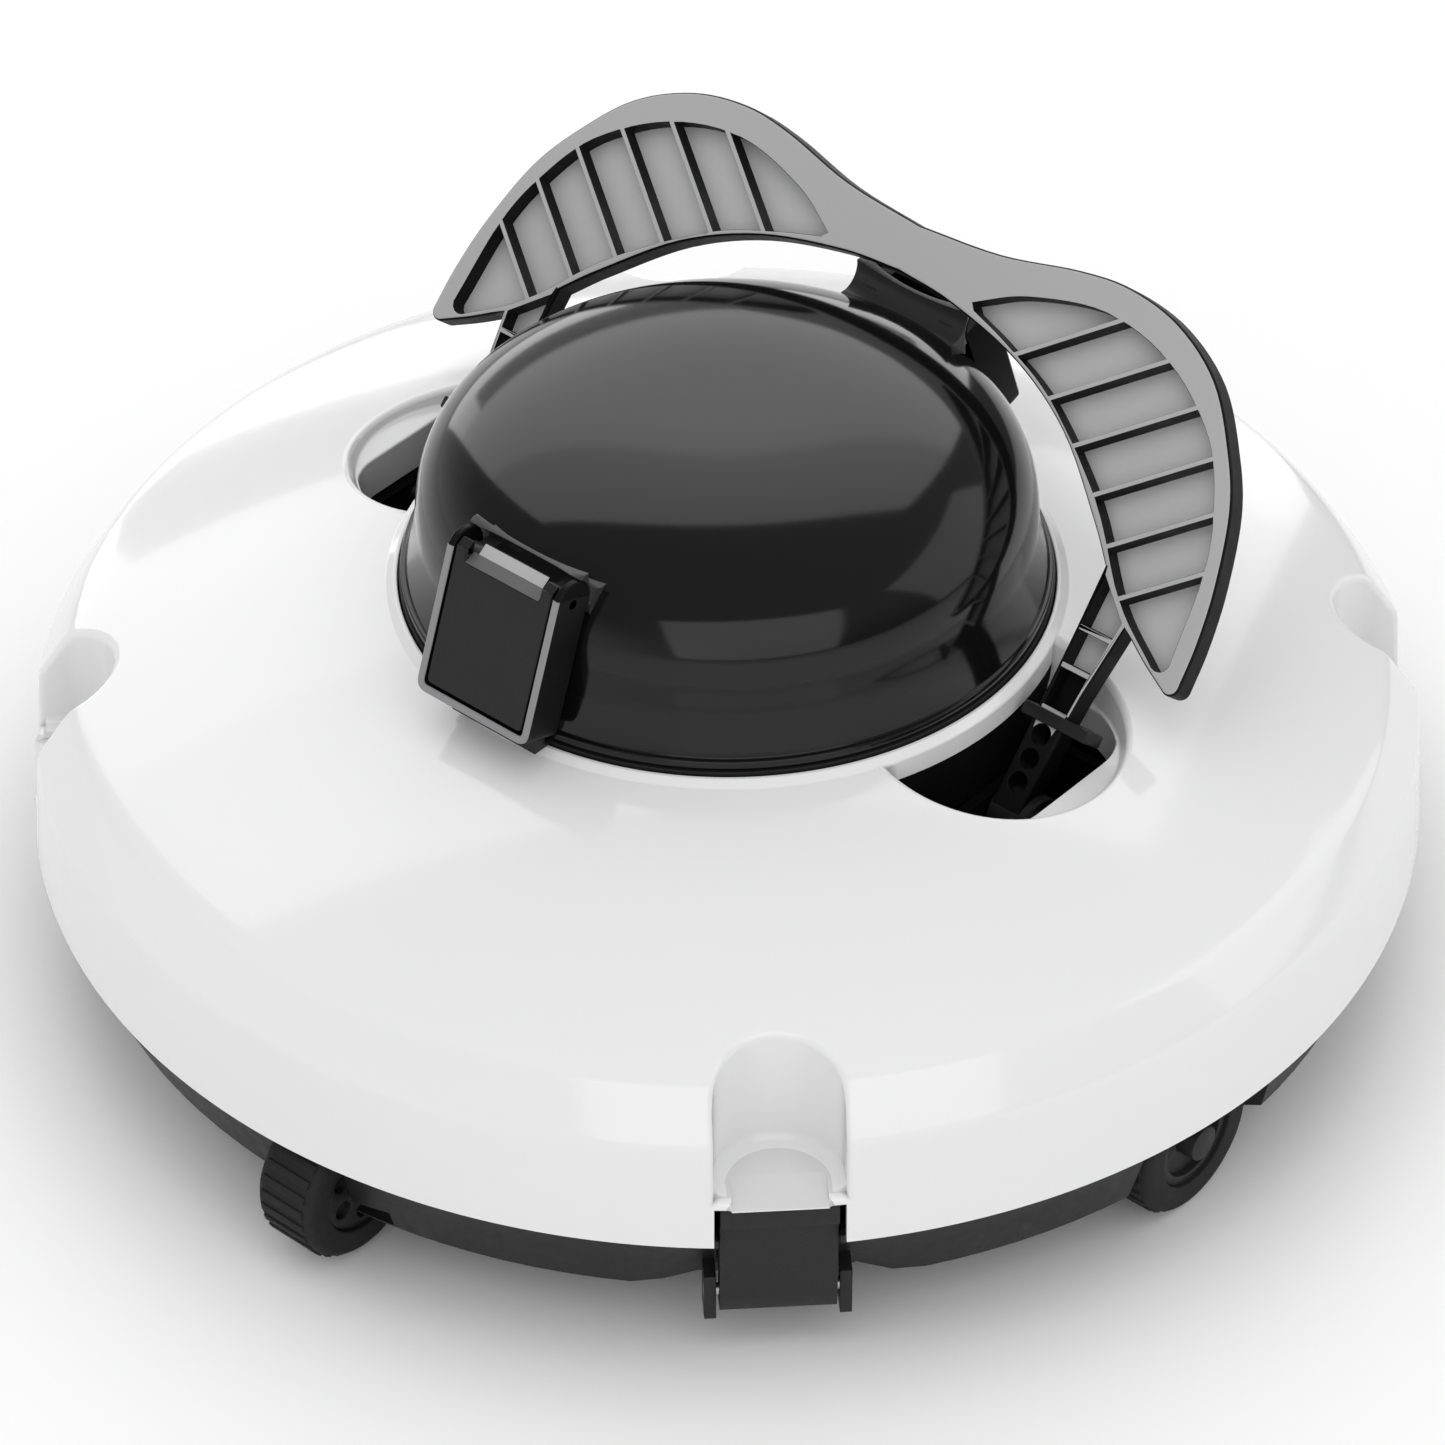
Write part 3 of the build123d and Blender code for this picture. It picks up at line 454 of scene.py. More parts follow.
# Finger notch: a rounded rim, a wall that scoops into the floor, and a slot for the clasp
def cutNotch(centre):
    rim, radius, floor, scoop = hull["notchRim"], hull["notchRadius"], hull["notchFloor"], hull["scoop"]
    outerLine, sides = notchLine(centre, radius + rim, floor - rim)
    edgeLine, _ = notchLine(centre, radius, floor)
    a = math.radians(centre)
    along = Vector((math.cos(a), math.sin(a), 0))
    outward = Vector((math.sin(a), -math.cos(a), 0))
    outer, outerNormals = zip(*[hullAt(*spot) for spot in outerLine])
    edge, edgeNormals = zip(*[hullAt(*spot) for spot in edgeLine])
    inner, innerNormals = [], []
    middle = outward * hull["notchCentre"]
    for i, (spot, normal) in enumerate(zip(edge, edgeNormals)):
        if i >= sides:
            inner.append(spot - outward * rim)
            innerNormals.append(Vector((0, 0, 1)))
            continue
        side = spot.dot(along)
        flat = Vector((spot.x, spot.y, 0)) - middle
        facing = -along * math.copysign(1, side) if flat.dot(outward) > 0 else -flat.normalized()
        down = (normal - facing * normal.dot(facing)).normalized()
        inner.append(spot - down * rim)
        innerNormals.append(facing)
    first = shell.row(outer, outerNormals)
    hullHoles.append(([hullSpot(*spot) for spot in outerLine], first))
    last = first
    lip = [first]
    right, left = sides + 1, sides + len(hull["notchFront"]) - 2
    for rows in rimRows(shell, outer, edge, inner, outerNormals, innerNormals):
        shell.band(last, rows, gap=range(right, left))
        last = rows
        lip.append(rows)
    wall = last[:sides]
    for k in range(hull["scoopSteps"] + 1):
        bend = math.radians(90 * (k / hull["scoopSteps"]))
        spots, leans = [], []
        for i in range(sides):
            reach = min(scoop, max(inner[i].z - floor, 0))
            foot = Vector((inner[i].x, inner[i].y, floor))
            spots.append(foot + innerNormals[i] * reach * (1 - math.cos(bend))
                         + Vector((0, 0, reach * (1 - math.sin(bend)))))
            leans.append(innerNormals[i] * math.cos(bend) + Vector((0, 0, math.sin(bend))))
        made = shell.row(spots, leans)
        for i in range(sides):
            if inner[i].z - floor < 0.05:
                made[i] = wall[i]
        shell.band(wall, made, closed=False)
        wall = made
    for corner in wall[1:-1]:
        shell.normals[corner] = Vector((0, 0, 1))
    # Sloping slot in the floor, open at the front
    half = shell.points[last[right]].dot(along)
    reach = shell.points[last[right]].dot(outward)
    fall = hull["slotDrop"] / (hull["slotFront"] - hull["slotBack"])
    slope = (Vector((0, 0, 1)) + outward * fall).normalized()
    steps = hull["slotSteps"]

    def slotRow(side, drop, lean, ends):
        spots = []
        for r in list(np.linspace(hull["slotBack"], reach, steps + 1)) + ends:
            z = floor - drop * fall * (r - hull["slotBack"])
            spots.append(along * side * half + outward * r + Vector((0, 0, z)))
        return shell.row(spots, [lean] * len(spots))

    up = Vector((0, 0, 1))
    topRight = slotRow(1, 0, up, [])[:-1] + [last[right]]
    topLeft = slotRow(-1, 0, up, [])[:-1] + [last[left]]
    loop = wall + [last[sides]] + topRight[::-1] + topLeft + [last[left + 1]]
    flatLoop = [(shell.points[c].dot(along), shell.points[c].dot(outward)) for c in loop]
    # The notch floor takes the hull white darkened as painted shade
    for triangle in fillArea(flatLoop, []):
        shell.face([loop[c] for c in triangle], 2)
    front = [hull["slotFront"]]
    lowRight, lowLeft = slotRow(1, 1, slope, front), slotRow(-1, 1, slope, front)
    lowRight[0], lowLeft[0] = topRight[0], topLeft[0]
    for corner in lowRight + lowLeft:
        shell.thin[corner] = hull["slotWall"]
    for top, low, end in ((topRight, lowRight, right), (topLeft, lowLeft, left)):
        for k in range(steps):
            shell.face([top[k], top[k + 1], low[k + 1], low[k]], 0, True)
        shell.face([rows[end] for rows in reversed(lip)] + [low[steps + 1], low[steps]], 0, True)
    # The slot floor takes the same painted shade
    for k in range(steps + 1):
        shell.face([lowRight[k], lowRight[k + 1], lowLeft[k + 1], lowLeft[k]], 2, True)


def wellRadius(z):
    (lowR, lowZ), (highR, highZ) = hull["wellLow"], hull["wellHigh"]
    return lowR + (highR - lowR) * (z - lowZ) / (highZ - lowZ)


# Handle well: a rounded recess beside the dome, and a shaft down to an inside painted black as shade
def cutWell(angle):
    side = 1 if angle < 180 else -1
    centre = Vector((side * hull["wellCentre"], 0, 0))
    steps, ringSteps = hull["wellSteps"], hull["ringSteps"]
    arc = steps + 1  # points on the round side, before those on the ring

    def ray(a, grow):
        away = Vector((side * math.cos(a), math.sin(a), 0))
        z = hull["wellStart"]
        for _ in range(12):
            spot = centre + away * (wellRadius(z) + grow)
            z = float(np.interp(hullByRadius(spot.xy.length), lineU, lineZ))
        return spot, away

    def ends(grow, ring):
        low, high = 1.0, math.pi
        for _ in range(40):
            middle = (low + high) / 2
            if ray(middle, grow)[0].xy.length > ring:
                low = middle
            else:
                high = middle
        return low

    def line(grow, ring):
        end = ends(grow, ring)
        spots, facing = [], []
        for k in range(arc):
            spot, away = ray(-end + 2 * end * k / steps, grow)
            spots.append(planSpot(spot.x, spot.y))
            facing.append(-away)
        start, stop = spots[-1][0], spots[0][0]
        for k in range(1, ringSteps):
            turn = start + (stop - start) * k / ringSteps
            spots.append((turn, hullByRadius(ring)))
            facing.append(Vector((math.sin(math.radians(turn)), -math.cos(math.radians(turn)), 0)))
        return spots, facing

    outerLine, _ = line(hull["wellRim"], hull["ring"] - hull["ringRim"])
    edgeLine, facing = line(0.0, hull["ring"])
    outer, outerNormals = zip(*[hullAt(*spot) for spot in outerLine])
    edge, _ = zip(*[hullAt(*spot) for spot in edgeLine])
    inner, innerNormals = [], []
    for i, (spot, way) in enumerate(zip(edge, facing)):
        if i < arc:
            drop = hull["wellRim"]
            inner.append(spot - Vector((0, 0, drop)) + way * drop * hull["rimLean"])
            innerNormals.append((way + Vector((0, 0, hull["rimLean"]))).normalized())
        else:
            inner.append(spot - Vector((0, 0, hull["ringRim"])))
            innerNormals.append(way)
    first = shell.row(outer, outerNormals)
    hullHoles.append(([hullSpot(*spot) for spot in outerLine], first))
    last = first
    for rows in rimRows(shell, outer, edge, inner, outerNormals, innerNormals):
        shell.band(last, rows)
        last = rows
    floor, soft, count = hull["wellFloor"], hull["floorSoft"], len(inner)

    def outsideRing(spot, z):
        flat = spot.xy if spot.xy.length > hull["ring"] else spot.xy.normalized() * hull["ring"]
        return Vector((*flat, z))

    def wallRow(share, inset=0.0):
        spots = []
        for i in range(arc):
            z = floor + (0.0 if inset else soft) + (inner[i].z - floor - soft) * share
            spots.append(outsideRing(centre - facing[i] * (wellRadius(z) - inset), z))
        return spots

    # Rounded gap: how far the ray runs, and the way its wall faces
    def gapEnd(i, grow):
        away = -facing[i]
        out, wide, corner = hull["gapOut"], hull["gapHalf"], hull["gapCorner"]
        low, high = 0.0, hull["wellLow"][0] - hull["gapClear"]
        lean = facing[i]
        for _ in range(30):
            middle = (low + high) / 2
            spot = centre + away * middle
            across, along = abs(spot.x) - (out - corner), abs(spot.y) - (wide - corner)
            beyond = math.hypot(max(across, 0), max(along, 0)) > corner
            if across > 0 or along > 0:
                lean = -Vector((side * max(across, 0), math.copysign(max(along, 0), spot.y), 0)).normalized()
            low, high = (low, middle) if beyond else (middle, high)
        return centre + away * (low + grow), lean

    def gapRow(z, grow):
        return [outsideRing(gapEnd(i, grow)[0], z) for i in range(arc)]

    up = [Vector((0, 0, 1))] * arc
    wallWays = innerNormals[:arc]
    gapWays = [gapEnd(i, 0)[1] for i in range(arc)]
    edge, low, end = hull["gapEdge"], hull["shaftLow"], hull["shaftEnd"]
    # Each row down the well: its spots, their normals, the ring's height there, and the finishes of both;
    # finish 2 is the white darkened as painted shade, finish 1 black painted as the shade of the deep hole
    stages = [(wallRow(0.5), wallWays, hull["ringWhite"], 2, 0), (wallRow(0.0), wallWays, floor + soft, 2, 1),
              (wallRow(0.0, soft), up, floor, 2, 1), (gapRow(floor, edge), up, None, 2, 1),
              (gapRow(floor - edge, 0), gapWays, floor - edge, 2, 1), (gapRow(low, 0), gapWays, low, 2, 1),
              (gapRow(end, 0), gapWays, low - soft, 1, 1)]
    for spots, ways, ringHeight, kind, ringKind in stages:
        rows = shell.row(spots, ways)
        if ringHeight is None:
            rows += last[arc:]
        else:
            rows += shell.row([Vector((p.x, p.y, ringHeight)) for p in inner[arc:]], facing[arc:])
        for i in range(count):
            j = (i + 1) % count
            shell.face([last[i], last[j], rows[j], rows[i]], ringKind if i >= steps else kind)
        last = rows


# Round socket in the rear wall
def cutSocket(x, radius):
    rim = hull["socketRim"]
    around = [math.tau * k / hull["socketSteps"] for k in range(hull["socketSteps"])]

    def line(grow):
        spots = []
        for a in around:
            u = hullByHeight(hull["socketHeight"] + (radius + grow) * math.sin(a))
            across = x + (radius + grow) * math.cos(a)
            spots.append((180 - math.degrees(math.asin(across / np.interp(u, lineU, lineR))), u))
        return spots

    outerLine = line(rim)
    outer, outerNormals = zip(*[hullAt(*spot) for spot in outerLine])
    edge, _ = zip(*[hullAt(*spot) for spot in line(0.0)])
    hole = [-Vector((math.cos(a), 0, math.sin(a))) for a in around]
    inner = [spot - Vector((0, rim, 0)) for spot in edge]
    first = shell.row(outer, outerNormals)
    hullHoles.append(([hullSpot(*spot) for spot in outerLine], first))
    last = first
    for rows in rimRows(shell, outer, edge, inner, outerNormals, hole):
        shell.band(last, rows)
        last = rows
    shell.band(last, shell.row([spot - Vector((0, hull["socketDepth"], 0)) for spot in inner], hole))


for turn in hull["notchAngles"]:
    cutNotch(turn)
for turn in hull["wellAngles"]:
    cutWell(turn)
for across, radius in hull["sockets"]:
    cutSocket(across, radius)

step = 360 / hull["columns"]
endU = float(lineU[-1])
mouthU = hullByHeight(hull["mouthTop"])
mouthHalf = math.degrees(math.asin(hull["notchRadius"] / hull["mouthRadius"]))
lowEdge = []
for k in range(hull["columns"] + 1):
    turn = k * step
    near = [c for c in hull["notchAngles"] if abs(turn - c) < mouthHalf]
    lowEdge.append((turn, mouthU if near else endU))
for centre in hull["notchAngles"]:
    for edge in (-mouthHalf, mouthHalf):
        sideTurn = centre + edge
        lowEdge += [(sideTurn, endU), (sideTurn, (endU + mouthU) / 2), (sideTurn, mouthU)]


# Order of the lower edge: up one side of each mouth and down the other
def lowKey(entry):
    turn, u = entry
    for centre in hull["notchAngles"]:
        if abs(turn - centre + mouthHalf) < 1e-9:
            return (turn, -u)
        if abs(turn - centre - mouthHalf) < 1e-9:
            return (turn, u)
    return (turn, 0)


lowEdge.sort(key=lowKey)
seamRows = [float(u) for u in lineU[1:-1]]
outline = [(k * step, 0.0) for k in range(hull["columns"] + 1)]
outline += [(360.0, u) for u in seamRows]
outline += list(reversed(lowEdge))
outline += [(0.0, u) for u in reversed(seamRows)]
outlinePlan = [hullSpot(*spot) for spot in outline]
grid = [(k * step, u) for u in seamRows for k in range(1, hull["columns"])]
gridPlan = np.array([hullSpot(*spot) for spot in grid])
free = inLoop(gridPlan, outlinePlan)
barriers = [loop for loop, _ in hullHoles] + [[hullSpot(*s) for s in lowEdge]]
for number, loop in enumerate(barriers):
    spots = np.array(loop)
    low, high = spots.min(0) - hull["near"], spots.max(0) + hull["near"]
    close = np.nonzero(free & (gridPlan > low).all(1) & (gridPlan < high).all(1))[0]
    if len(close) == 0:
        continue
    gaps = np.sqrt(((gridPlan[close, None, :] - spots[None]) ** 2).sum(2)).min(1)
    free[close[gaps < hull["clear"]]] = False
    if number < len(hullHoles):
        free[close[inLoop(gridPlan[close], loop)]] = False
grid = [spot for spot, ok in zip(grid, free) if ok]
numbers = {}
surface = []
for turn, u in outline + grid:
    key = (round(turn % 360, 6), round(u, 6))
    if key not in numbers:
        spot, normal = hullAt(turn, u)
        numbers[key] = shell.row([spot], [normal])[0]
    surface.append(numbers[key])
holeNumbers = [c for _, first in hullHoles for c in first]
lookup = surface[:len(outline)] + holeNumbers + surface[len(outline):]
triangles = fillArea(outlinePlan, [loop for loop, _ in hullHoles], [hullSpot(*s) for s in grid])
slotEdge = hull["notchFront"][1] * (1 + hull["notchRim"] / hull["notchRadius"]) + 0.2
lipHigh = hull["notchFloor"] - hull["notchRim"] + 0.05
for triangle in triangles:
    middle = sum((shell.points[lookup[c]] for c in triangle), Vector()) / 3
    turn = math.degrees(math.atan2(middle.x, -middle.y))
    aside = min(abs(middle.xy.length * math.sin(math.radians(turn - c))) for c in hull["notchAngles"])
    if not (hull["mouthTop"] < middle.z < lipHigh and aside < slotEdge):
        shell.face([lookup[c] for c in triangle])
shell.thicken(hull["wall"])
hullShell = shell.build("hullShell", [finishes["white_gloss"], wellShadeBlack, whiteRecessShade])
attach(hullShell, "hull")
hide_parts("top_shell")
print("stage hull", len(hullShell.data.polygons))


# Turned solid from a closed half section
def turned(name, line, columns, materials, sharp=35):
    work = bmesh.new()
    chain = [work.verts.new((p[0] * mm, 0, p[1] * mm)) for p in line]
    for a, b in zip(chain, chain[1:]):
        work.edges.new((a, b))
    bmesh.ops.spin(work, geom=work.verts[:] + work.edges[:], cent=(0, 0, 0), axis=(0, 0, 1), dvec=(0, 0, 0),
                   angle=math.tau, steps=columns, use_merge=True)
    bmesh.ops.remove_doubles(work, verts=work.verts, dist=1e-6)
    bmesh.ops.recalc_face_normals(work, faces=work.faces)
    return addObject(name, smoothed(name, work, sharp), materials)


def smoothed(name, work, sharp):
    for side in work.faces:
        side.smooth = True
    for edge in work.edges:
        edge.smooth = not (edge.is_manifold and edge.calc_face_angle(0) > math.radians(sharp))
    mesh = bpy.data.meshes.new(name)
    work.to_mesh(mesh)
    work.free()
    return mesh


# Lid: a full dome over a short skirt and a thin flange
lid = {"radius": 74.5, "shoulder": 116.2, "rise": 35.8, "wall": 2.6, "power": 2 / 3, "skirt": (77.2, 105.0),
       "flange": (78.4, 102.8), "spigot": (69.5, 67.2), "low": 98.6, "innerFoot": 104.0, "columns": 192}


def domeLine(radius, rise, count):
    line = []
    for k in range(count + 1):
        a = math.radians(90) * k / count
        r = radius * max(math.cos(a), 0) ** lid["power"]
        line.append((0.0 if k == count else r, lid["shoulder"] + rise * math.sin(a) ** lid["power"]))
    return line


outside = domeLine(lid["radius"], lid["rise"], 64)
inside = domeLine(lid["radius"] - lid["wall"], lid["rise"] - lid["wall"], 40)
flangeR, flangeZ = lid["flange"]
skirtR, skirtZ = lid["skirt"]
lidLine = list(reversed(outside))
spigotOut, spigotIn = lid["spigot"]
footLine = roundLine([
    (*outside[0], 0), (skirtR, skirtZ, 0.5), (flangeR, skirtZ, 0.5), (flangeR, flangeZ, 0.4),
    (spigotOut, flangeZ, 0.3), (spigotOut, lid["low"], 0.5), (spigotIn, lid["low"], 0.5),
    (spigotIn, lid["innerFoot"], 0.0), (*inside[0], 0)], 3)
lidLine += [tuple(p) for p in footLine[1:-1]]
lidLine += inside
lidDome = turned("lidDome", lidLine, lid["columns"], [finishes["black_gloss"]])
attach(lidDome, "lid")
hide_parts("lid")
print("stage lid", len(lidDome.data.polygons))


# Loop moved outward by a distance, with mitred corners
def grown(loop, distance):
    spots = [Vector(p) for p in loop]
    area = sum(a.x * b.y - b.x * a.y for a, b in zip(spots, spots[1:] + spots[:1]))
    sign = 1 if area > 0 else -1
    moved = []
    for i, here in enumerate(spots):
        back = (here - spots[i - 1]).normalized()
        ahead = (spots[(i + 1) % len(spots)] - here).normalized()
        side = Vector((back.y + ahead.y, -back.x - ahead.x)) * sign
        side.normalize()
        reach = max(side.dot(Vector((ahead.y, -ahead.x)) * sign), 0.45)
        moved.append(here + side * distance / reach)
    return moved


def edgeSides(loop):
    return [(b - a).normalized() for a, b in zip(loop, grown(loop, 1.0))]


# Flat plate with rounded edges, blind pockets and through windows, on a plane
class Plate:
    def __init__(self, place, thick, rim, lightSteps=1):
        self.skin = Skin()
        self.lightSteps = lightSteps
        self.place = place
        self.thick = thick
        self.rim = rim

    def spots(self, loop, depth):
        return [self.place @ Vector((p[0], p[1], depth)) for p in loop]

    def turn(self, across, up):
        swing = self.place.to_3x3()
        return [swing @ Vector((s.x, s.y, 0)) + swing @ Vector((0, 0, up)) for s in across]

    # Rounded edge, light on its first steps and dark below them
    def curl(self, loop, sides, sign, start, kind, wallKind, rim):
        last = start
        for k in range(1, 4):
            a = math.radians(30 * k)
            moved = [Vector(p) + s * sign * rim * (math.sin(a) - 1) for p, s in zip(loop, sides)]
            depth = -rim * (1 - math.cos(a))
            leans = self.turn([s * sign * math.sin(a) for s in sides], math.cos(a))
            rows = self.skin.row(self.spots(moved, depth), leans)
            self.skin.band(last, rows, kind if k <= self.lightSteps else wallKind)
            last = rows
        return last

    # kinds: numbers of the materials on the front, walls, pocket floors and back
    def make(self, outer, pockets, windows, depth, kinds):
        frontKind, wallKind, floorKind, backKind = kinds
        up = self.place.to_3x3() @ Vector((0, 0, 1))
        skin, rim, thick = self.skin, self.rim, self.thick
        outer = [Vector(p) for p in outer]
        loops = [(outer, edgeSides(outer), 1, rim)]
        loops += [([Vector(p) for p in w], edgeSides(w), -1, rim * 0.35) for w in pockets + windows]
        flats, starts = [], []
        for loop, sides, sign, soften in loops:
            flat = [p - s * sign * soften for p, s in zip(loop, sides)]
            flats.append(flat)
            starts.append(skin.row(self.spots(flat, 0), [up] * len(flat)))
        front = fillArea(flats[0], flats[1:])
        lookup = [c for row in starts for c in row]
        for triangle in front:
            skin.face([lookup[c] for c in triangle], frontKind)
        backs, backFlats = [], []
        for number, (loop, sides, sign, soften) in enumerate(loops):
            last = self.curl(loop, sides, sign, starts[number], frontKind, wallKind, soften)
            leans = self.turn([s * sign for s in sides], 0)
            blind = 0 < number <= len(pockets)
            end = -depth if blind else -thick + soften
            low = skin.row(self.spots(loop, end), leans)
            skin.band(last, low, wallKind)
            if blind:
                for triangle in fillArea(loop, []):
                    skin.face([low[c] for c in triangle], floorKind, True)
                continue
            flat = [p - s * sign * soften for p, s in zip(loop, sides)]
            last = low
            for k in range(1, 4):
                a = math.radians(30 * k)
                moved = [p - s * sign * soften * (1 - math.cos(a)) for p, s in zip(loop, sides)]
                leans = self.turn([s * sign * math.cos(a) for s in sides], -math.sin(a))
                rows = skin.row(self.spots(moved, -thick + soften * (1 - math.sin(a))), leans)
                skin.band(last, rows, wallKind)
                last = rows
            backs.append(last)
            backFlats.append(flat)
        lookup = [c for row in backs for c in row]
        for triangle in fillArea(backFlats[0], backFlats[1:]):
            skin.face([lookup[c] for c in reversed(triangle)], backKind)
        return skin


# Part of a loop on one side of a straight line
def clipped(loop, normal, limit):
    kept = []
    for a, b in zip(loop, loop[1:] + loop[:1]):
        da, db = Vector(a).dot(normal) - limit, Vector(b).dot(normal) - limit
        if da <= 0:
            kept.append(Vector(a))
        if (da < 0 < db) or (db < 0 < da):
            kept.append(Vector(a).lerp(Vector(b), da / (da - db)))
    return kept


# Loop without points that crowd each other
def thinned(loop, gap=0.35):
    kept = []
    for p in loop:
        if not kept or (p - kept[-1]).length > gap:
            kept.append(p)
    while (kept[0] - kept[-1]).length < gap:
        kept.pop()
    return kept


# Handle: two ribbed wings on a leaning plate, ladder legs into the wells
handle = {
    "lean": 41.6, "height": 84.8, "thick": 7.0, "rim": 0.9, "pocket": 5.0, "ribs": 6, "ribPitch": 17.0,
    "ribAngle": 39.4, "ribHalf": 0.65, "ribStart": (70.0, 28.9),
    "outer": [(0, 106.6), (23.6, 108.6), (45, 113.3), (60, 114.7), (76, 111.8), (91, 103.6), (102.5, 90.3),
              (109.8, 78), (115, 61), (117.4, 47), (118.1, 35.6)],
    "tip": ((118.1, 35.6), (116.82, 33.36), (114.24, 33.33)),
    "innerTip": [(114.24, 33.33), (106.3, 37.5), (98.2, 42.5)],
    "leg": [(96.0, 24), (95.6, 18), (95, -8), (86.6, -8), (86.5, 38)],
    "inner": [(86.2, 53.6), (77.5, 62.4), (60, 77.5), (40, 87.5), (17, 93), (0, 94.5)],
    "pocketTop": [(22.6, 95.4), (36, 102.4), (57, 107), (78, 102.8), (96, 91), (105.5, 76.5), (110.6, 62),
                  (112.9, 40.5)],
    "pocketTip": ((112.9, 40.5), (111.7, 37.3), (109.2, 37.3)),
    "pocketLow": [(109.2, 37.3), (93.8, 47.9), (76.4, 66.4), (53.5, 82.9), (36, 90.2), (24, 93.9)],
    "cells": ([(87.7, 18.4), (94.7, 18.4), (95.2, 27.9), (87.7, 27.9)],
              [(87.7, 29.3), (95.4, 29.3), (96.3, 37.6), (87.7, 37.6)],
              [(87.6, 39.0), (96.6, 39.0), (97.0, 43.2), (87.6, 51.6)]),
    # Limits of the painted shade on the legs: below a height, in the lower cells and on the inner rails
    "shadeBelow": 14.4, "shadeCell": 28.5, "shadeRim": (80.0, 87.9, 52.0),  # where the legs turn black
    "drains": ((90.7, 11.4), (90.7, 5.2), (90.7, -1.0)), "drainRadius": 2.5, "drainSteps": 20,
    "collar": (93.0, 15.8, -2.9), "collarSize": (19.0, 3.2, 8.2), "collarSoft": 0.5,
    "boss": (91.7, 74.0, 7.0, 11.0), "kinds": (0, 1, 2, 1),
}
lean = math.radians(handle["lean"])
plateUp = Vector((0, math.sin(lean), math.cos(lean)))
plateOut = Vector((0, -math.cos(lean), math.sin(lean)))
plateTurn = Matrix(((1, 0, 0), plateUp, plateOut)).transposed().to_4x4()
platePlace = Matrix.Translation((0, 0, handle["height"])) @ plateTurn
half = through(handle["outer"])[:-1]
half += [Vector(p) for p in arcLine(*handle["tip"], 8)][:-1]
half += through(handle["innerTip"], 3) + [Vector(p) for p in handle["leg"]] + through(handle["inner"])
outlineLoop = half[:-1] + [Vector((-p.x, p.y)) for p in reversed(half)][:-1]
pocketLoop = through(handle["pocketTop"])[:-1] + [Vector(p) for p in arcLine(*handle["pocketTip"], 5)][:-1]
pocketLoop += through(handle["pocketLow"])
ribTurn = math.radians(handle["ribAngle"])
ribSide = Vector((-math.sin(ribTurn), math.cos(ribTurn)))
ribZero = Vector(handle["ribStart"]).dot(ribSide)
ribStep = handle["ribPitch"] * math.cos(ribTurn)
pockets = []
for k in range(handle["ribs"] + 1):
    piece = pocketLoop
    if k > 0:
        piece = clipped(piece, -ribSide, -(ribZero + ribStep * (k - 1) + handle["ribHalf"]))
    if k < handle["ribs"]:
        piece = clipped(piece, ribSide, ribZero + ribStep * k - handle["ribHalf"])
    if len(piece) > 2:
        pockets.append(thinned(piece))
pockets += [[Vector(p) for p in cell] for cell in handle["cells"]]
pockets += [[Vector((-p.x, p.y)) for p in reversed(loop)] for loop in pockets]
windows = []
drainTurns = [math.tau * k / handle["drainSteps"] for k in range(handle["drainSteps"])]
for x, y in handle["drains"]:
    for side in (-1, 1):
        windows.append([Vector((side * x + handle["drainRadius"] * math.cos(a),
                                y + handle["drainRadius"] * math.sin(a))) for a in drainTurns])
wings = Plate(platePlace, handle["thick"], handle["rim"])
wingSkin = wings.make(outlineLoop, pockets, windows, handle["pocket"], handle["kinds"])
handleWings = wingSkin.build("handleWings", [greyFace, darkWallAndShade, pocketFace])


# Round rod along Z with a small chamfer, set in place
def rod(radius, length, place, edge=0.4, columns=32):
    work = bmesh.new()
    end = length / 2
    line = [(0, -end), (radius - edge, -end), (radius, -end + edge),
            (radius, end - edge), (radius - edge, end), (0, end)]
    chain = [work.verts.new((r * mm, 0, z * mm)) for r, z in line]
    for a, b in zip(chain, chain[1:]):
        work.edges.new((a, b))
    bmesh.ops.spin(work, geom=work.verts[:] + work.edges[:], cent=(0, 0, 0), axis=(0, 0, 1), dvec=(0, 0, 0),
                   angle=math.tau, steps=columns, use_merge=True)
    bmesh.ops.remove_doubles(work, verts=work.verts, dist=1e-7)
    bmesh.ops.recalc_face_normals(work, faces=work.faces)
    bmesh.ops.transform(work, matrix=place, verts=work.verts)
    return work


# One object from several loose shapes
def joined(name, works, materials, sharp=30):
    whole = bmesh.new()
    for work in works:
        spare = bpy.data.meshes.new("spare")
        work.to_mesh(spare)
        work.free()
        whole.from_mesh(spare)
        bpy.data.meshes.remove(spare)
    return addObject(name, smoothed(name, whole, sharp), materials)


# Edges of a shape rounded by a width
def rounded(work, edges, width):
    bmesh.ops.bevel(work, geom=edges, offset=width * mm, offset_type="OFFSET", segments=2, profile=0.5,
                    affect="EDGES", clamp_overlap=True)


alongX = Matrix.Rotation(math.radians(90), 4, "Y")
bossX, bossZ, bossR, bossL = handle["boss"]
rods = []
for side in (-1, 1):
    collar = bmesh.new()
    sizes = Matrix.Diagonal([*handle["collarSize"], 1])
    x, s, d = handle["collar"]
    toMetre = Matrix.Scale(mm, 4) @ platePlace @ Matrix.Translation((side * x, s, d))
    bmesh.ops.create_cube(collar, size=1, matrix=toMetre @ sizes)
    rounded(collar, collar.edges[:], handle["collarSoft"])
    rods.append(collar)
    rods.append(rod(bossR, bossL, Matrix.Translation(Vector((side * bossX, 0, bossZ)) * mm) @ alongX))
handlePins = joined("handlePins", rods, [finishes["black_matte"]])
toPlate = platePlace.inverted()
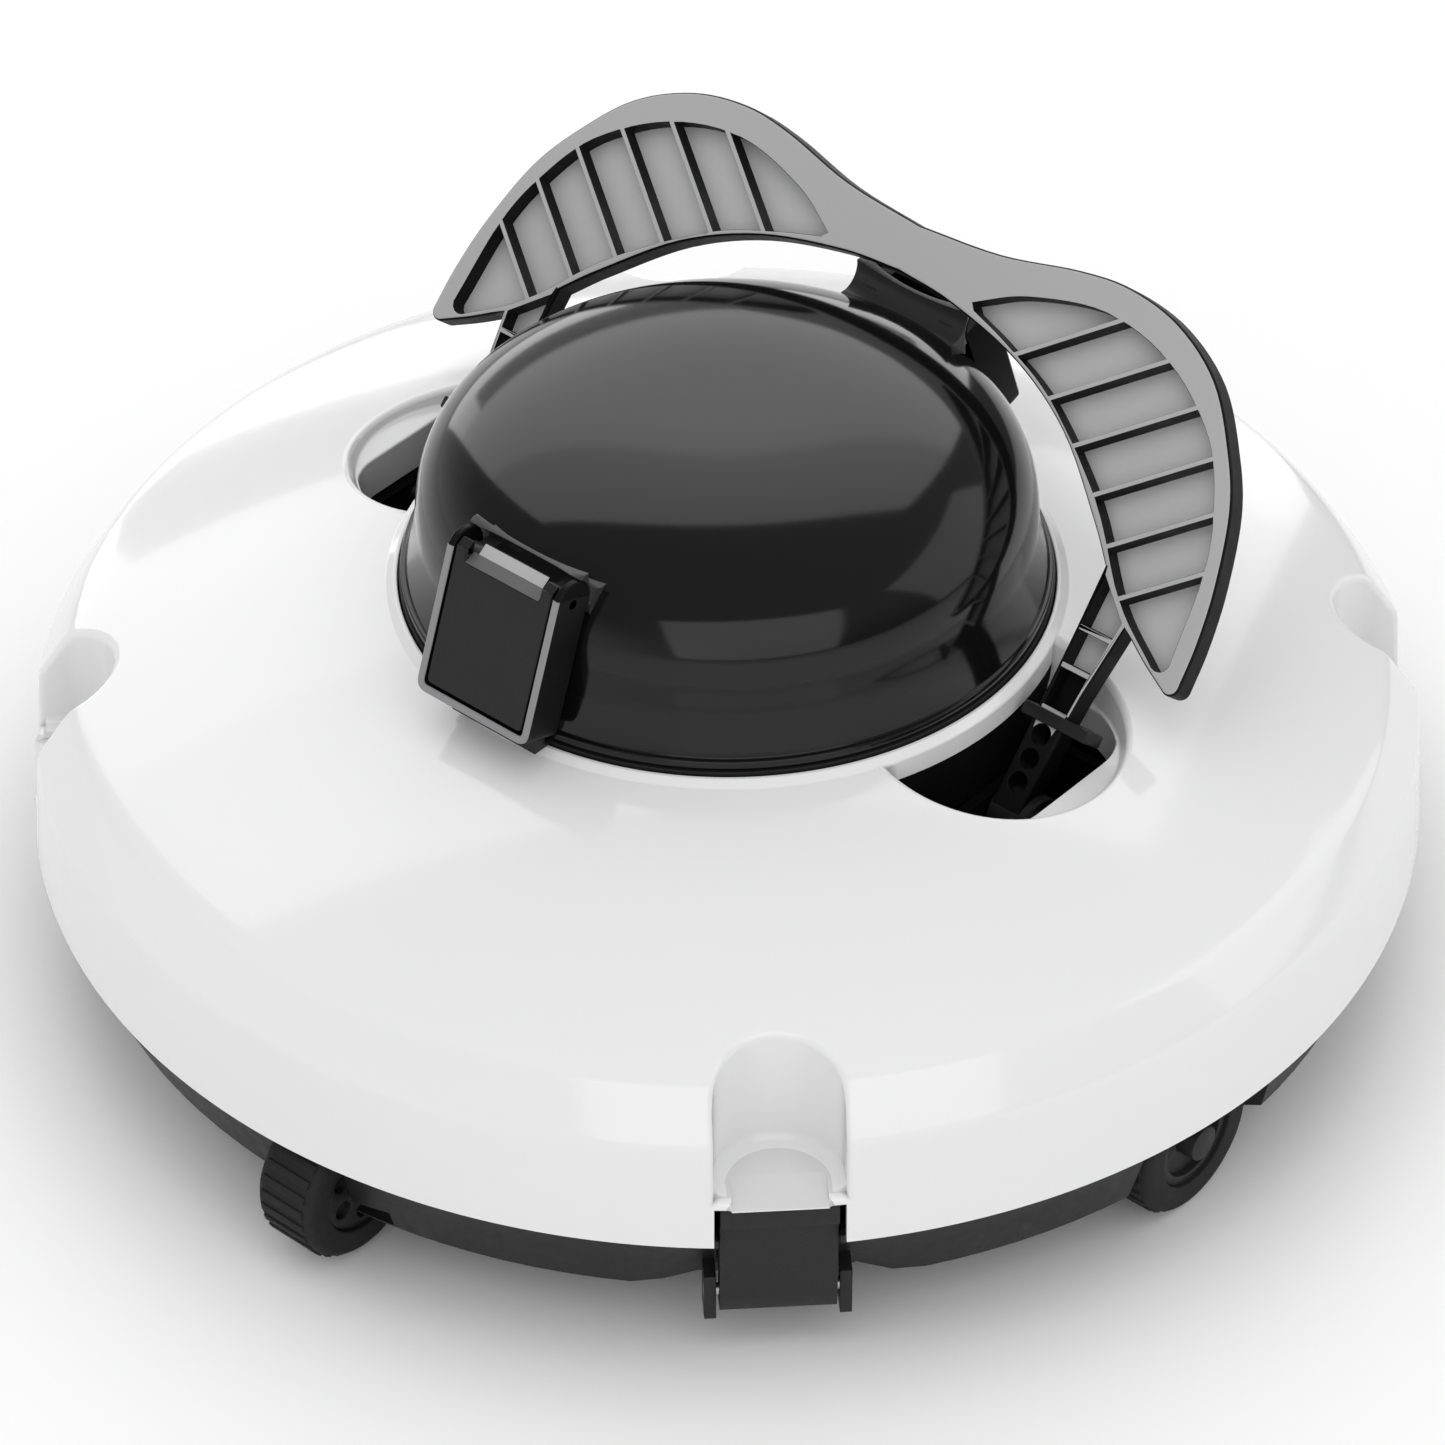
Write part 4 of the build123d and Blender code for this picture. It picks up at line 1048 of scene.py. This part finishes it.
# Painted shade: the lower legs, their lower cell floors and the inner rails take the dark wall material
rimFrom, rimTo, rimTop = handle["shadeRim"]
for polygon in handleWings.data.polygons:
    spot = toPlate @ (polygon.center / mm)
    inShadedRim = rimFrom < abs(spot.x) < rimTo and spot.y < rimTop
    inShadedCell = polygon.material_index == 2 and spot.y < handle["shadeCell"]
    if spot.y < handle["shadeBelow"] or inShadedRim or inShadedCell:
        polygon.material_index = 1
for thing in (handleWings, handlePins):
    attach(thing, "handle")
    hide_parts("handle")
print("stage handle", len(handleWings.data.polygons))


# Copy of a CAD piece with its edges softened
def softened(node, width, body, materials=None):
    work = bmesh.new()
    work.from_mesh(nodes[node].data)
    bmesh.ops.remove_doubles(work, verts=work.verts, dist=2e-5)
    bmesh.ops.dissolve_limit(work, angle_limit=math.radians(0.6), verts=work.verts, edges=work.edges)
    edges = [e for e in work.edges if e.is_manifold and e.calc_face_angle(0) > math.radians(32)]
    rounded(work, edges, width)
    bmesh.ops.recalc_face_normals(work, faces=work.faces)
    words = node.split("_")
    name = words[0] + "".join(w.capitalize() for w in words[1:]) + "Soft"
    thing = addObject(name, smoothed(name, work, 30), materials or [finishes[slotOf[node]]])
    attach(thing, body)
    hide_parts(node)
    return thing


softWidths = {"clasp": 0.6, "tray": 0.5, "bracket": 0.5, "hub": 0.4}
for place in ("front_right", "front_left", "rear_right", "rear_left"):
    softened(place + "_clasp", softWidths["clasp"], place + "_clasp")

# Tray: its side stands steeper, except beside the clasps
tray = {"rim": 35.5, "foot": 14.0, "reach": 6.0, "from": (140.0, 152.0), "clasp": (20.0, 28.0)}


# How far a spot lies to the side of the nearest clasp
def besideClasp(x, y):
    asides = []
    for turn in hull["notchAngles"]:
        a = math.radians(turn)
        ahead = x * math.sin(a) - y * math.cos(a)
        asides.append(abs(x * math.cos(a) + y * math.sin(a)) if ahead > 0 else math.hypot(x, y))
    return min(asides)


trayBody = softened("base_tray", softWidths["tray"], "hull")
near, far = tray["clasp"]
start, end = tray["from"]
for corner in trayBody.data.vertices:
    x, y, z = (c / mm for c in corner.co)
    r = math.hypot(x, y)
    if r > start and z < tray["rim"]:
        aside = (besideClasp(x, y) - near) / (far - near)
        share = min(max(aside, 0), 1) * min((r - start) / (end - start), 1)
        grow = 1 + share * tray["reach"] * (tray["rim"] - z) / (tray["rim"] - tray["foot"]) / r
        corner.co.x *= grow
        corner.co.y *= grow
for place in ("front", "rear"):
    softened(place + "_latch_bracket", softWidths["bracket"], "lid", [bracketGrey])
    nodes[place + "_latch_pin"].data.materials[0] = blackSteel

# Pivot cups: cut just below the light part of the well's shaft, and painted black as the shade of the deep
# hole
cupTop = (hull["shaftLow"] - hull["floorSoft"]) * mm
for side in ("left", "right"):
    cup = bmesh.new()
    cup.from_mesh(nodes[side + "_pivot_cup"].data)
    bmesh.ops.remove_doubles(cup, verts=cup.verts, dist=2e-5)
    bmesh.ops.bisect_plane(cup, geom=cup.verts[:] + cup.edges[:] + cup.faces[:], plane_co=(0, 0, cupTop),
                           plane_no=(0, 0, 1), clear_outer=True)
    bmesh.ops.triangle_fill(cup, use_beauty=True, edges=[e for e in cup.edges if e.is_boundary])
    bmesh.ops.recalc_face_normals(cup, faces=cup.faces)
    thing = joined(side + "PivotCup", [cup], [wellShadeBlack])
    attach(thing, "hull")
    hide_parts(side + "_pivot_cup")

# Latch: a rimmed frame with round ears, a pad with two posts, and a sloping grip between them
latch = {
    "foot": (-90.9, 110.5), "up": (0.334, 0.9425), "half": 17.3, "rim": 1.9, "corner": 3.2, "top": 37.0,
    "thick": 11.2, "soft": 0.45, "lightSteps": 3, "ear": (-73.7, 142.1, 5.66), "earInset": 0.06,
    "padHalf": 14.7, "padLow": 2.7, "padTop": 37.9, "padThick": 2.4, "padSet": 0.3, "padGap": 0.2,
    "gripHalf": 11.3, "gripLow": 34.8, "grip": ((34.8, -0.3), (36.9, -3.0), (36.6, -3.2), (34.3, -0.9)),
    "gripTopHalf": 9.85, "gripTop": ((36.9, -3.0), (39.3, -4.7), (39.3, -5.3), (36.6, -3.2)),
    "post": ((36.5, -0.85), (38.0, -0.85), (39.5, -2.2), (39.5, -2.7), (36.5, -2.7)),
}


# Straight bar of a given section across the latch; kinds gives the material of each side
def prism(profile, half, place, kinds):
    work = bmesh.new()
    near, far = ([work.verts.new(place @ Vector((x, s, d)) * mm) for s, d in profile] for x in (-half, half))
    work.faces.new(near)
    work.faces.new(far[::-1])
    for i in range(len(profile)):
        j = (i + 1) % len(profile)
        work.faces.new((near[j], near[i], far[i], far[j])).material_index = kinds[i]
    bmesh.ops.recalc_face_normals(work, faces=work.faces)
    return work


def latchPieces(place, turn):
    upY, upZ = latch["up"]
    face = Matrix(((1, 0, 0), (0, upY, upZ), (0, -upZ, upY))).transposed().to_4x4()
    face = turn @ Matrix.Translation((0, *latch["foot"])) @ face
    half, rim, top, corner = latch["half"], latch["rim"], latch["top"], latch["corner"]
    inside = half - rim
    frameLine = [(-half, top, 0), (-half, 0, corner), (half, 0, corner), (half, top, 0), (inside, top, 0),
                 (inside, rim, corner - rim), (-inside, rim, corner - rim), (-inside, top, 0)]
    # The frame's front and its whole rounded edge take the light grey, partly as a painted highlight on the
    # rim
    frameBar = Plate(face, latch["thick"], latch["soft"], latch["lightSteps"])
    frameSkin = frameBar.make(roundLine(frameLine), [], [], 0, (0, 1, 1, 1))
    frameRim = frameSkin.build(place + "LatchFrame", [rimGreyAndHighlight, darkWallAndShade])
    wide, low, high = latch["padHalf"], latch["padLow"], latch["padTop"]
    notch, step = latch["gripHalf"] + latch["padGap"], latch["gripLow"]
    padLine = [(-wide, high, 0), (-wide, low, corner - rim), (wide, low, corner - rim), (wide, high, 0),
               (notch, high, 0), (notch, step, 0), (-notch, step, 0), (-notch, high, 0)]
    padPlace = face @ Matrix.Translation((0, 0, -latch["padSet"]))
    padBar = Plate(padPlace, latch["padThick"], latch["soft"])
    padSkin = padBar.make(roundLine(padLine), [], [], 0, (0, 0, 0, 0))
    padPlate = padSkin.build(place + "LatchPad", [finishes["black_matte"]])
    earY, earZ, earR = latch["ear"]
    # Painted light on the grip: its sloping front is a shaded mid grey, its top a lit light grey, its other
    # sides dark
    works = [prism(latch["grip"], latch["gripHalf"], face, (1, 0, 0, 0)),
             prism(latch["gripTop"], latch["gripTopHalf"], face, (2, 0, 0, 0))]
    for x in (-1, 1):
        spot = turn @ Vector((x * (half - rim / 2), earY, earZ))
        works.append(rod(earR, rim - latch["earInset"], Matrix.Translation(spot * mm) @ alongX, 0.3, 48))
        postPlace = face @ Matrix.Translation((x * (wide + notch) / 2, 0, 0))
        works.append(prism(latch["post"], (wide - notch) / 2, postPlace, (3,) * 5))
    grip = joined(place + "LatchGrip", works, [darkWallAndShade, gripFront, gripTop, finishes["black_matte"]])
    for thing, node in ((frameRim, "_latch_lever"), (grip, "_latch_lever"), (padPlate, "_latch_pad")):
        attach(thing, place + "_latch")
        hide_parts(place + node)


latchPieces("front", Matrix.Identity(4))
latchPieces("rear", Matrix.Rotation(math.pi, 4, "Z"))
print("stage latches")


# Geometry nodes: copies of a small piece around a ring, joined to a base
def ringGroup():
    tree = bpy.data.node_groups.new("ringCopies", "GeometryNodeTree")
    face = tree.interface
    face.new_socket("Geometry", in_out="INPUT", socket_type="NodeSocketGeometry")
    face.new_socket("Geometry", in_out="OUTPUT", socket_type="NodeSocketGeometry")
    kinds = {"Piece": "Object", "Count": "Int", "Radius": "Float", "Turn": "Vector", "Centre": "Vector",
             "Finish": "Material"}
    sockets = {}
    for label, kind in kinds.items():
        sockets[label] = face.new_socket(label, in_out="INPUT", socket_type="NodeSocket" + kind).identifier
    start = tree.nodes.new("NodeGroupInput")
    given = {label: Wire(tree, start.outputs[label]) for label in ["Geometry", *kinds]}
    base = given["Geometry"]
    circle = base.node("GeometryNodeMeshCircle", {"Vertices": given["Count"], "Radius": given["Radius"]})
    spot = base.node("GeometryNodeInputPosition", {})
    outward = spot.node("FunctionNodeAlignRotationToVector", {"Vector": spot}, axis="X", pivot_axis="Z")
    piece = base.node("GeometryNodeObjectInfo", {"Object": given["Piece"]}, out="Geometry")
    placing = {"Points": circle, "Instance": piece, "Rotation": outward}
    copies = circle.node("GeometryNodeInstanceOnPoints", placing)
    both = copies.node("GeometryNodeJoinGeometry", {"Geometry": copies})
    tree.links.new(base.socket, both.socket.node.inputs["Geometry"])
    way = base.node("FunctionNodeEulerToRotation", {0: given["Turn"]})
    move = {"Geometry": both, "Translation": given["Centre"], "Rotation": way}
    moved = both.node("GeometryNodeTransform", move)
    plain = moved.node("GeometryNodeRealizeInstances", {"Geometry": moved})
    painted = plain.node("GeometryNodeSetMaterial", {"Geometry": plain, "Material": given["Finish"]})
    end = tree.nodes.new("NodeGroupOutput")
    tree.links.new(painted.socket, end.inputs["Geometry"])
    return tree, sockets


ringCopies, ringSockets = ringGroup()


def ringed(name, base, piece, count, radius, turn, centre, slotName):
    thing = addObject(name, base, [])
    modifier = thing.modifiers.new("ring", "NODES")
    modifier.node_group = ringCopies
    values = {"Piece": piece, "Count": count, "Radius": radius * mm, "Turn": turn, "Centre": centre,
              "Finish": finishes[slotName]}
    for label, value in values.items():
        modifier[ringSockets[label]] = value
    bpy.context.view_layer.update()
    thing.data = bpy.data.meshes.new_from_object(thing.evaluated_get(bpy.context.evaluated_depsgraph_get()))
    thing.modifiers.remove(modifier)
    return thing


# Tyres: a rounded ring with low bars across it
tyre = {"radius": 20.0, "bore": 12.5, "round": 2.6, "boreSoft": 0.5, "columns": 72, "lift": 0.5,
        "bar": (1.4, 2.2), "barSoft": 0.25, "inset": 1.9, "count": 30}
for wheel in ("right", "left", "front", "rear"):
    low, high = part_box(wheel + "_tyre")
    wide = (high.x - low.x) / mm / 2
    base, bore = tyre["radius"] - tyre["lift"], tyre["bore"]
    shoulder, boreSoft = tyre["round"], tyre["boreSoft"]
    section = roundLine([(bore, 0, 0), (bore, wide, boreSoft), (base, wide, shoulder),
                         (base, -wide, shoulder), (bore, -wide, boreSoft), (bore, 0, 0)], 5)
    ringBase = turned(wheel + "TyreBase", section, tyre["columns"], [])
    bar = bmesh.new()
    tall, across = tyre["bar"]
    size = Matrix.Diagonal((tall * mm, across * mm, 2 * (wide - tyre["inset"]) * mm, 1))
    bmesh.ops.create_cube(bar, size=1, matrix=Matrix.Translation((-tall * mm / 2, 0, 0)) @ size)
    rounded(bar, bar.edges[:], tyre["barSoft"])
    piece = joined(wheel + "TyreBar", [bar], [])
    thing = ringed(wheel + "TyreRing", ringBase.data, piece, tyre["count"], tyre["radius"],
                   (0, math.radians(90), 0), (low + high) / 2, "tyre_rubber")
    for spare in (ringBase, piece):
        bpy.data.objects.remove(spare)
    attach(thing, wheel + "_wheel")
    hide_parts(wheel + "_tyre")
    softened(wheel + "_hub", softWidths["hub"], wheel + "_wheel")

# Tray screws: rounded heads with six-sided sockets, on the flat underside
screw = {"head": 3.6, "high": 1.8, "sunk": 0.4, "key": 1.9, "depth": 1.2, "columns": 36, "ring": 112.0,
         "count": 8, "seat": 14.0, "turn": 22.5}
head = Skin()
columns = screw["columns"]
around = [math.tau * k / columns for k in range(columns)]
sixth = math.pi / 3
keyReach = [math.cos(sixth / 2) / math.cos((a % sixth) - sixth / 2) * screw["key"] for a in around]
wide, high = screw["head"], screw["high"]
levels = [([wide] * columns, -screw["sunk"], 0.0), ([wide] * columns, high * 0.5, 0.2),
          ([wide * 0.94] * columns, high * 0.84, 0.6), ([wide * 0.8] * columns, high, 1.0),
          (keyReach, high, 1.0), (keyReach, high - screw["depth"], -0.2)]
last = None
for reach, z, climb in levels:
    spots = [Vector((r * math.cos(a), r * math.sin(a), z)) for r, a in zip(reach, around)]
    ways = [Vector((math.cos(a) * (1 - climb), math.sin(a) * (1 - climb), climb)) for a in around]
    rows = head.row(spots, ways)
    for i in range(columns if last else 0):
        j = (i + 1) % columns
        head.face([last[i], last[j], rows[j], rows[i]], 0, z < high and reach is keyReach)
    last = rows
head.face(list(range(columns)), 0, True)
head.face(last, 0, True)
screwHead = head.build("screwHead", [])
trayScrews = ringed("trayScrews", bpy.data.meshes.new("noBase"), screwHead, screw["count"], screw["ring"],
                    (math.radians(180), 0, math.radians(screw["turn"])), (0, 0, screw["seat"] * mm), "steel")
bpy.data.objects.remove(screwHead)
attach(trayScrews, "hull")
print("stage rings", len(trayScrews.data.polygons))

# Floor, light and camera
studio = {"fill": (0.86, 0.86, 0.86, 1), "dim": (0.10, 0.10, 0.10, 1), "bright": (0.9, 0.9, 0.91, 1),
          "above": (0.3, 0.3, 0.3, 1), "brightWay": (-0.755, -0.655, 0.0), "middle": 0.09}
floorMesh = bpy.data.meshes.new("floor")
floorMesh.from_pydata([(-9, -9, 0), (9, -9, 0), (9, 9, 0), (-9, 9, 0)], [], [(0, 1, 2, 3)])
floorMaterial, tree, shader, place = newMaterial("paleFloor")
shade = place.node("ShaderNodeTexNoise", {"Vector": place, "Scale": 3.0})
plug(tree, shade.between((0.93, 0.93, 0.93, 1), (0.95, 0.95, 0.95, 1)), shader, "Base Color")
shader.inputs["Roughness"].default_value = 0.6
floor = addObject("floor", floorMesh, [floorMaterial])

# World: white to the camera, brighter on the left to the gloss, and an even fill to the rest
world = bpy.data.worlds.new("studio")
scene.world = world
world.use_nodes = True
tree = world.node_tree
paths = tree.nodes.new("ShaderNodeLightPath")
cameraRay, glossyRay = (Wire(tree, paths.outputs[label]) for label in ("Is Camera Ray", "Is Glossy Ray"))
direction = Wire(tree, tree.nodes.new("ShaderNodeTexCoord").outputs["Generated"])
climb = direction.node("ShaderNodeSeparateXYZ", {0: direction}, out=2)
leftward = direction.node("ShaderNodeVectorMath", {0: direction, 1: studio["brightWay"]}, out=1,
                          operation="DOT_PRODUCT")
skyline = leftward.ramp(0.0, 1.0, -0.2, 0.8).between(studio["dim"], studio["bright"])
mirrored = climb.ramp(0.0, 1.0, 0.0, 0.5).between(skyline, studio["above"])
lit = glossyRay.between(studio["fill"], mirrored)
backdrop = tree.nodes["Background"]
tree.links.new(cameraRay.between(lit, (1, 1, 1, 1)).socket, backdrop.inputs["Color"])
backdrop.inputs["Strength"].default_value = 1.0

aim = {"azimuth": 40.93, "elevation": 38.72, "distance": 1.5774, "shift": -0.0011, "height": 0.054,
       "lens": 160.5}
az, el = math.radians(aim["azimuth"]), math.radians(aim["elevation"])
right = Vector((math.cos(az), math.sin(az), 0))
back = Vector((math.sin(az) * math.cos(el), -math.cos(az) * math.cos(el), math.sin(el)))
target = right * aim["shift"] + Vector((0, 0, aim["height"]))
cameraData = bpy.data.cameras.new("camera")
cameraData.lens = aim["lens"]
cameraData.sensor_width = 36
camera = bpy.data.objects.new("camera", cameraData)
scene.collection.objects.link(camera)
camera.location = target + back * aim["distance"]
camera.rotation_euler = back.to_track_quat("Z", "Y").to_euler()
scene.camera = camera


# A soft panel at a heading and height seen from the cleaner, of a given brightness
def panel(name, heading, height, distance, width, tall, glow, lift=0.0):
    data = bpy.data.lights.new(name, "AREA")
    data.shape = "RECTANGLE"
    data.size = width
    data.size_y = tall
    data.energy = glow * math.pi * width * tall
    thing = bpy.data.objects.new(name, data)
    scene.collection.objects.link(thing)
    a, e = math.radians(heading), math.radians(height)
    way = Vector((math.sin(a) * math.cos(e), -math.cos(a) * math.cos(e), math.sin(e)))
    turn = way.to_track_quat("Z", "Y")
    thing.rotation_euler = turn.to_euler()
    thing.location = Vector((0, 0, studio["middle"])) + way * distance + turn @ Vector((0, lift, 0))
    return thing


# Panels that only the gloss mirrors: a window in three rows, and one to the front and right
window = {"heading": -133, "height": 32, "distance": 1.7, "width": 2.1, "row": 0.7,
          "glows": (2.4, 1.95, 1.45)}
glossPanels = []
for row, glow in enumerate(window["glows"]):
    glossPanels.append(panel("windowRow", window["heading"], window["height"], window["distance"],
                             window["width"], window["row"], glow, (row - 1) * window["row"]))
glossPanels.append(panel("frontPanel", 51, 25, 2.2, 2.4, 1.9, 1.2))
glossPanels.append(panel("rightPanel", 140, 24, 1.6, 1.5, 1.25, 0.95))
for thing in glossPanels:
    thing.visible_diffuse = False

# Panels that only light the surfaces: name, heading, height and brightness
fills = (("overhead", 40, 82, 0.9), ("windowFill", -133, 32, 0.45), ("frontFill", 51, 25, 0.4))
for name, heading, height, glow in fills:
    panel(name, heading, height, 1.7, 1.4, 1.4, glow).visible_glossy = False
scene.view_settings.view_transform = "Standard"

print("stage done")
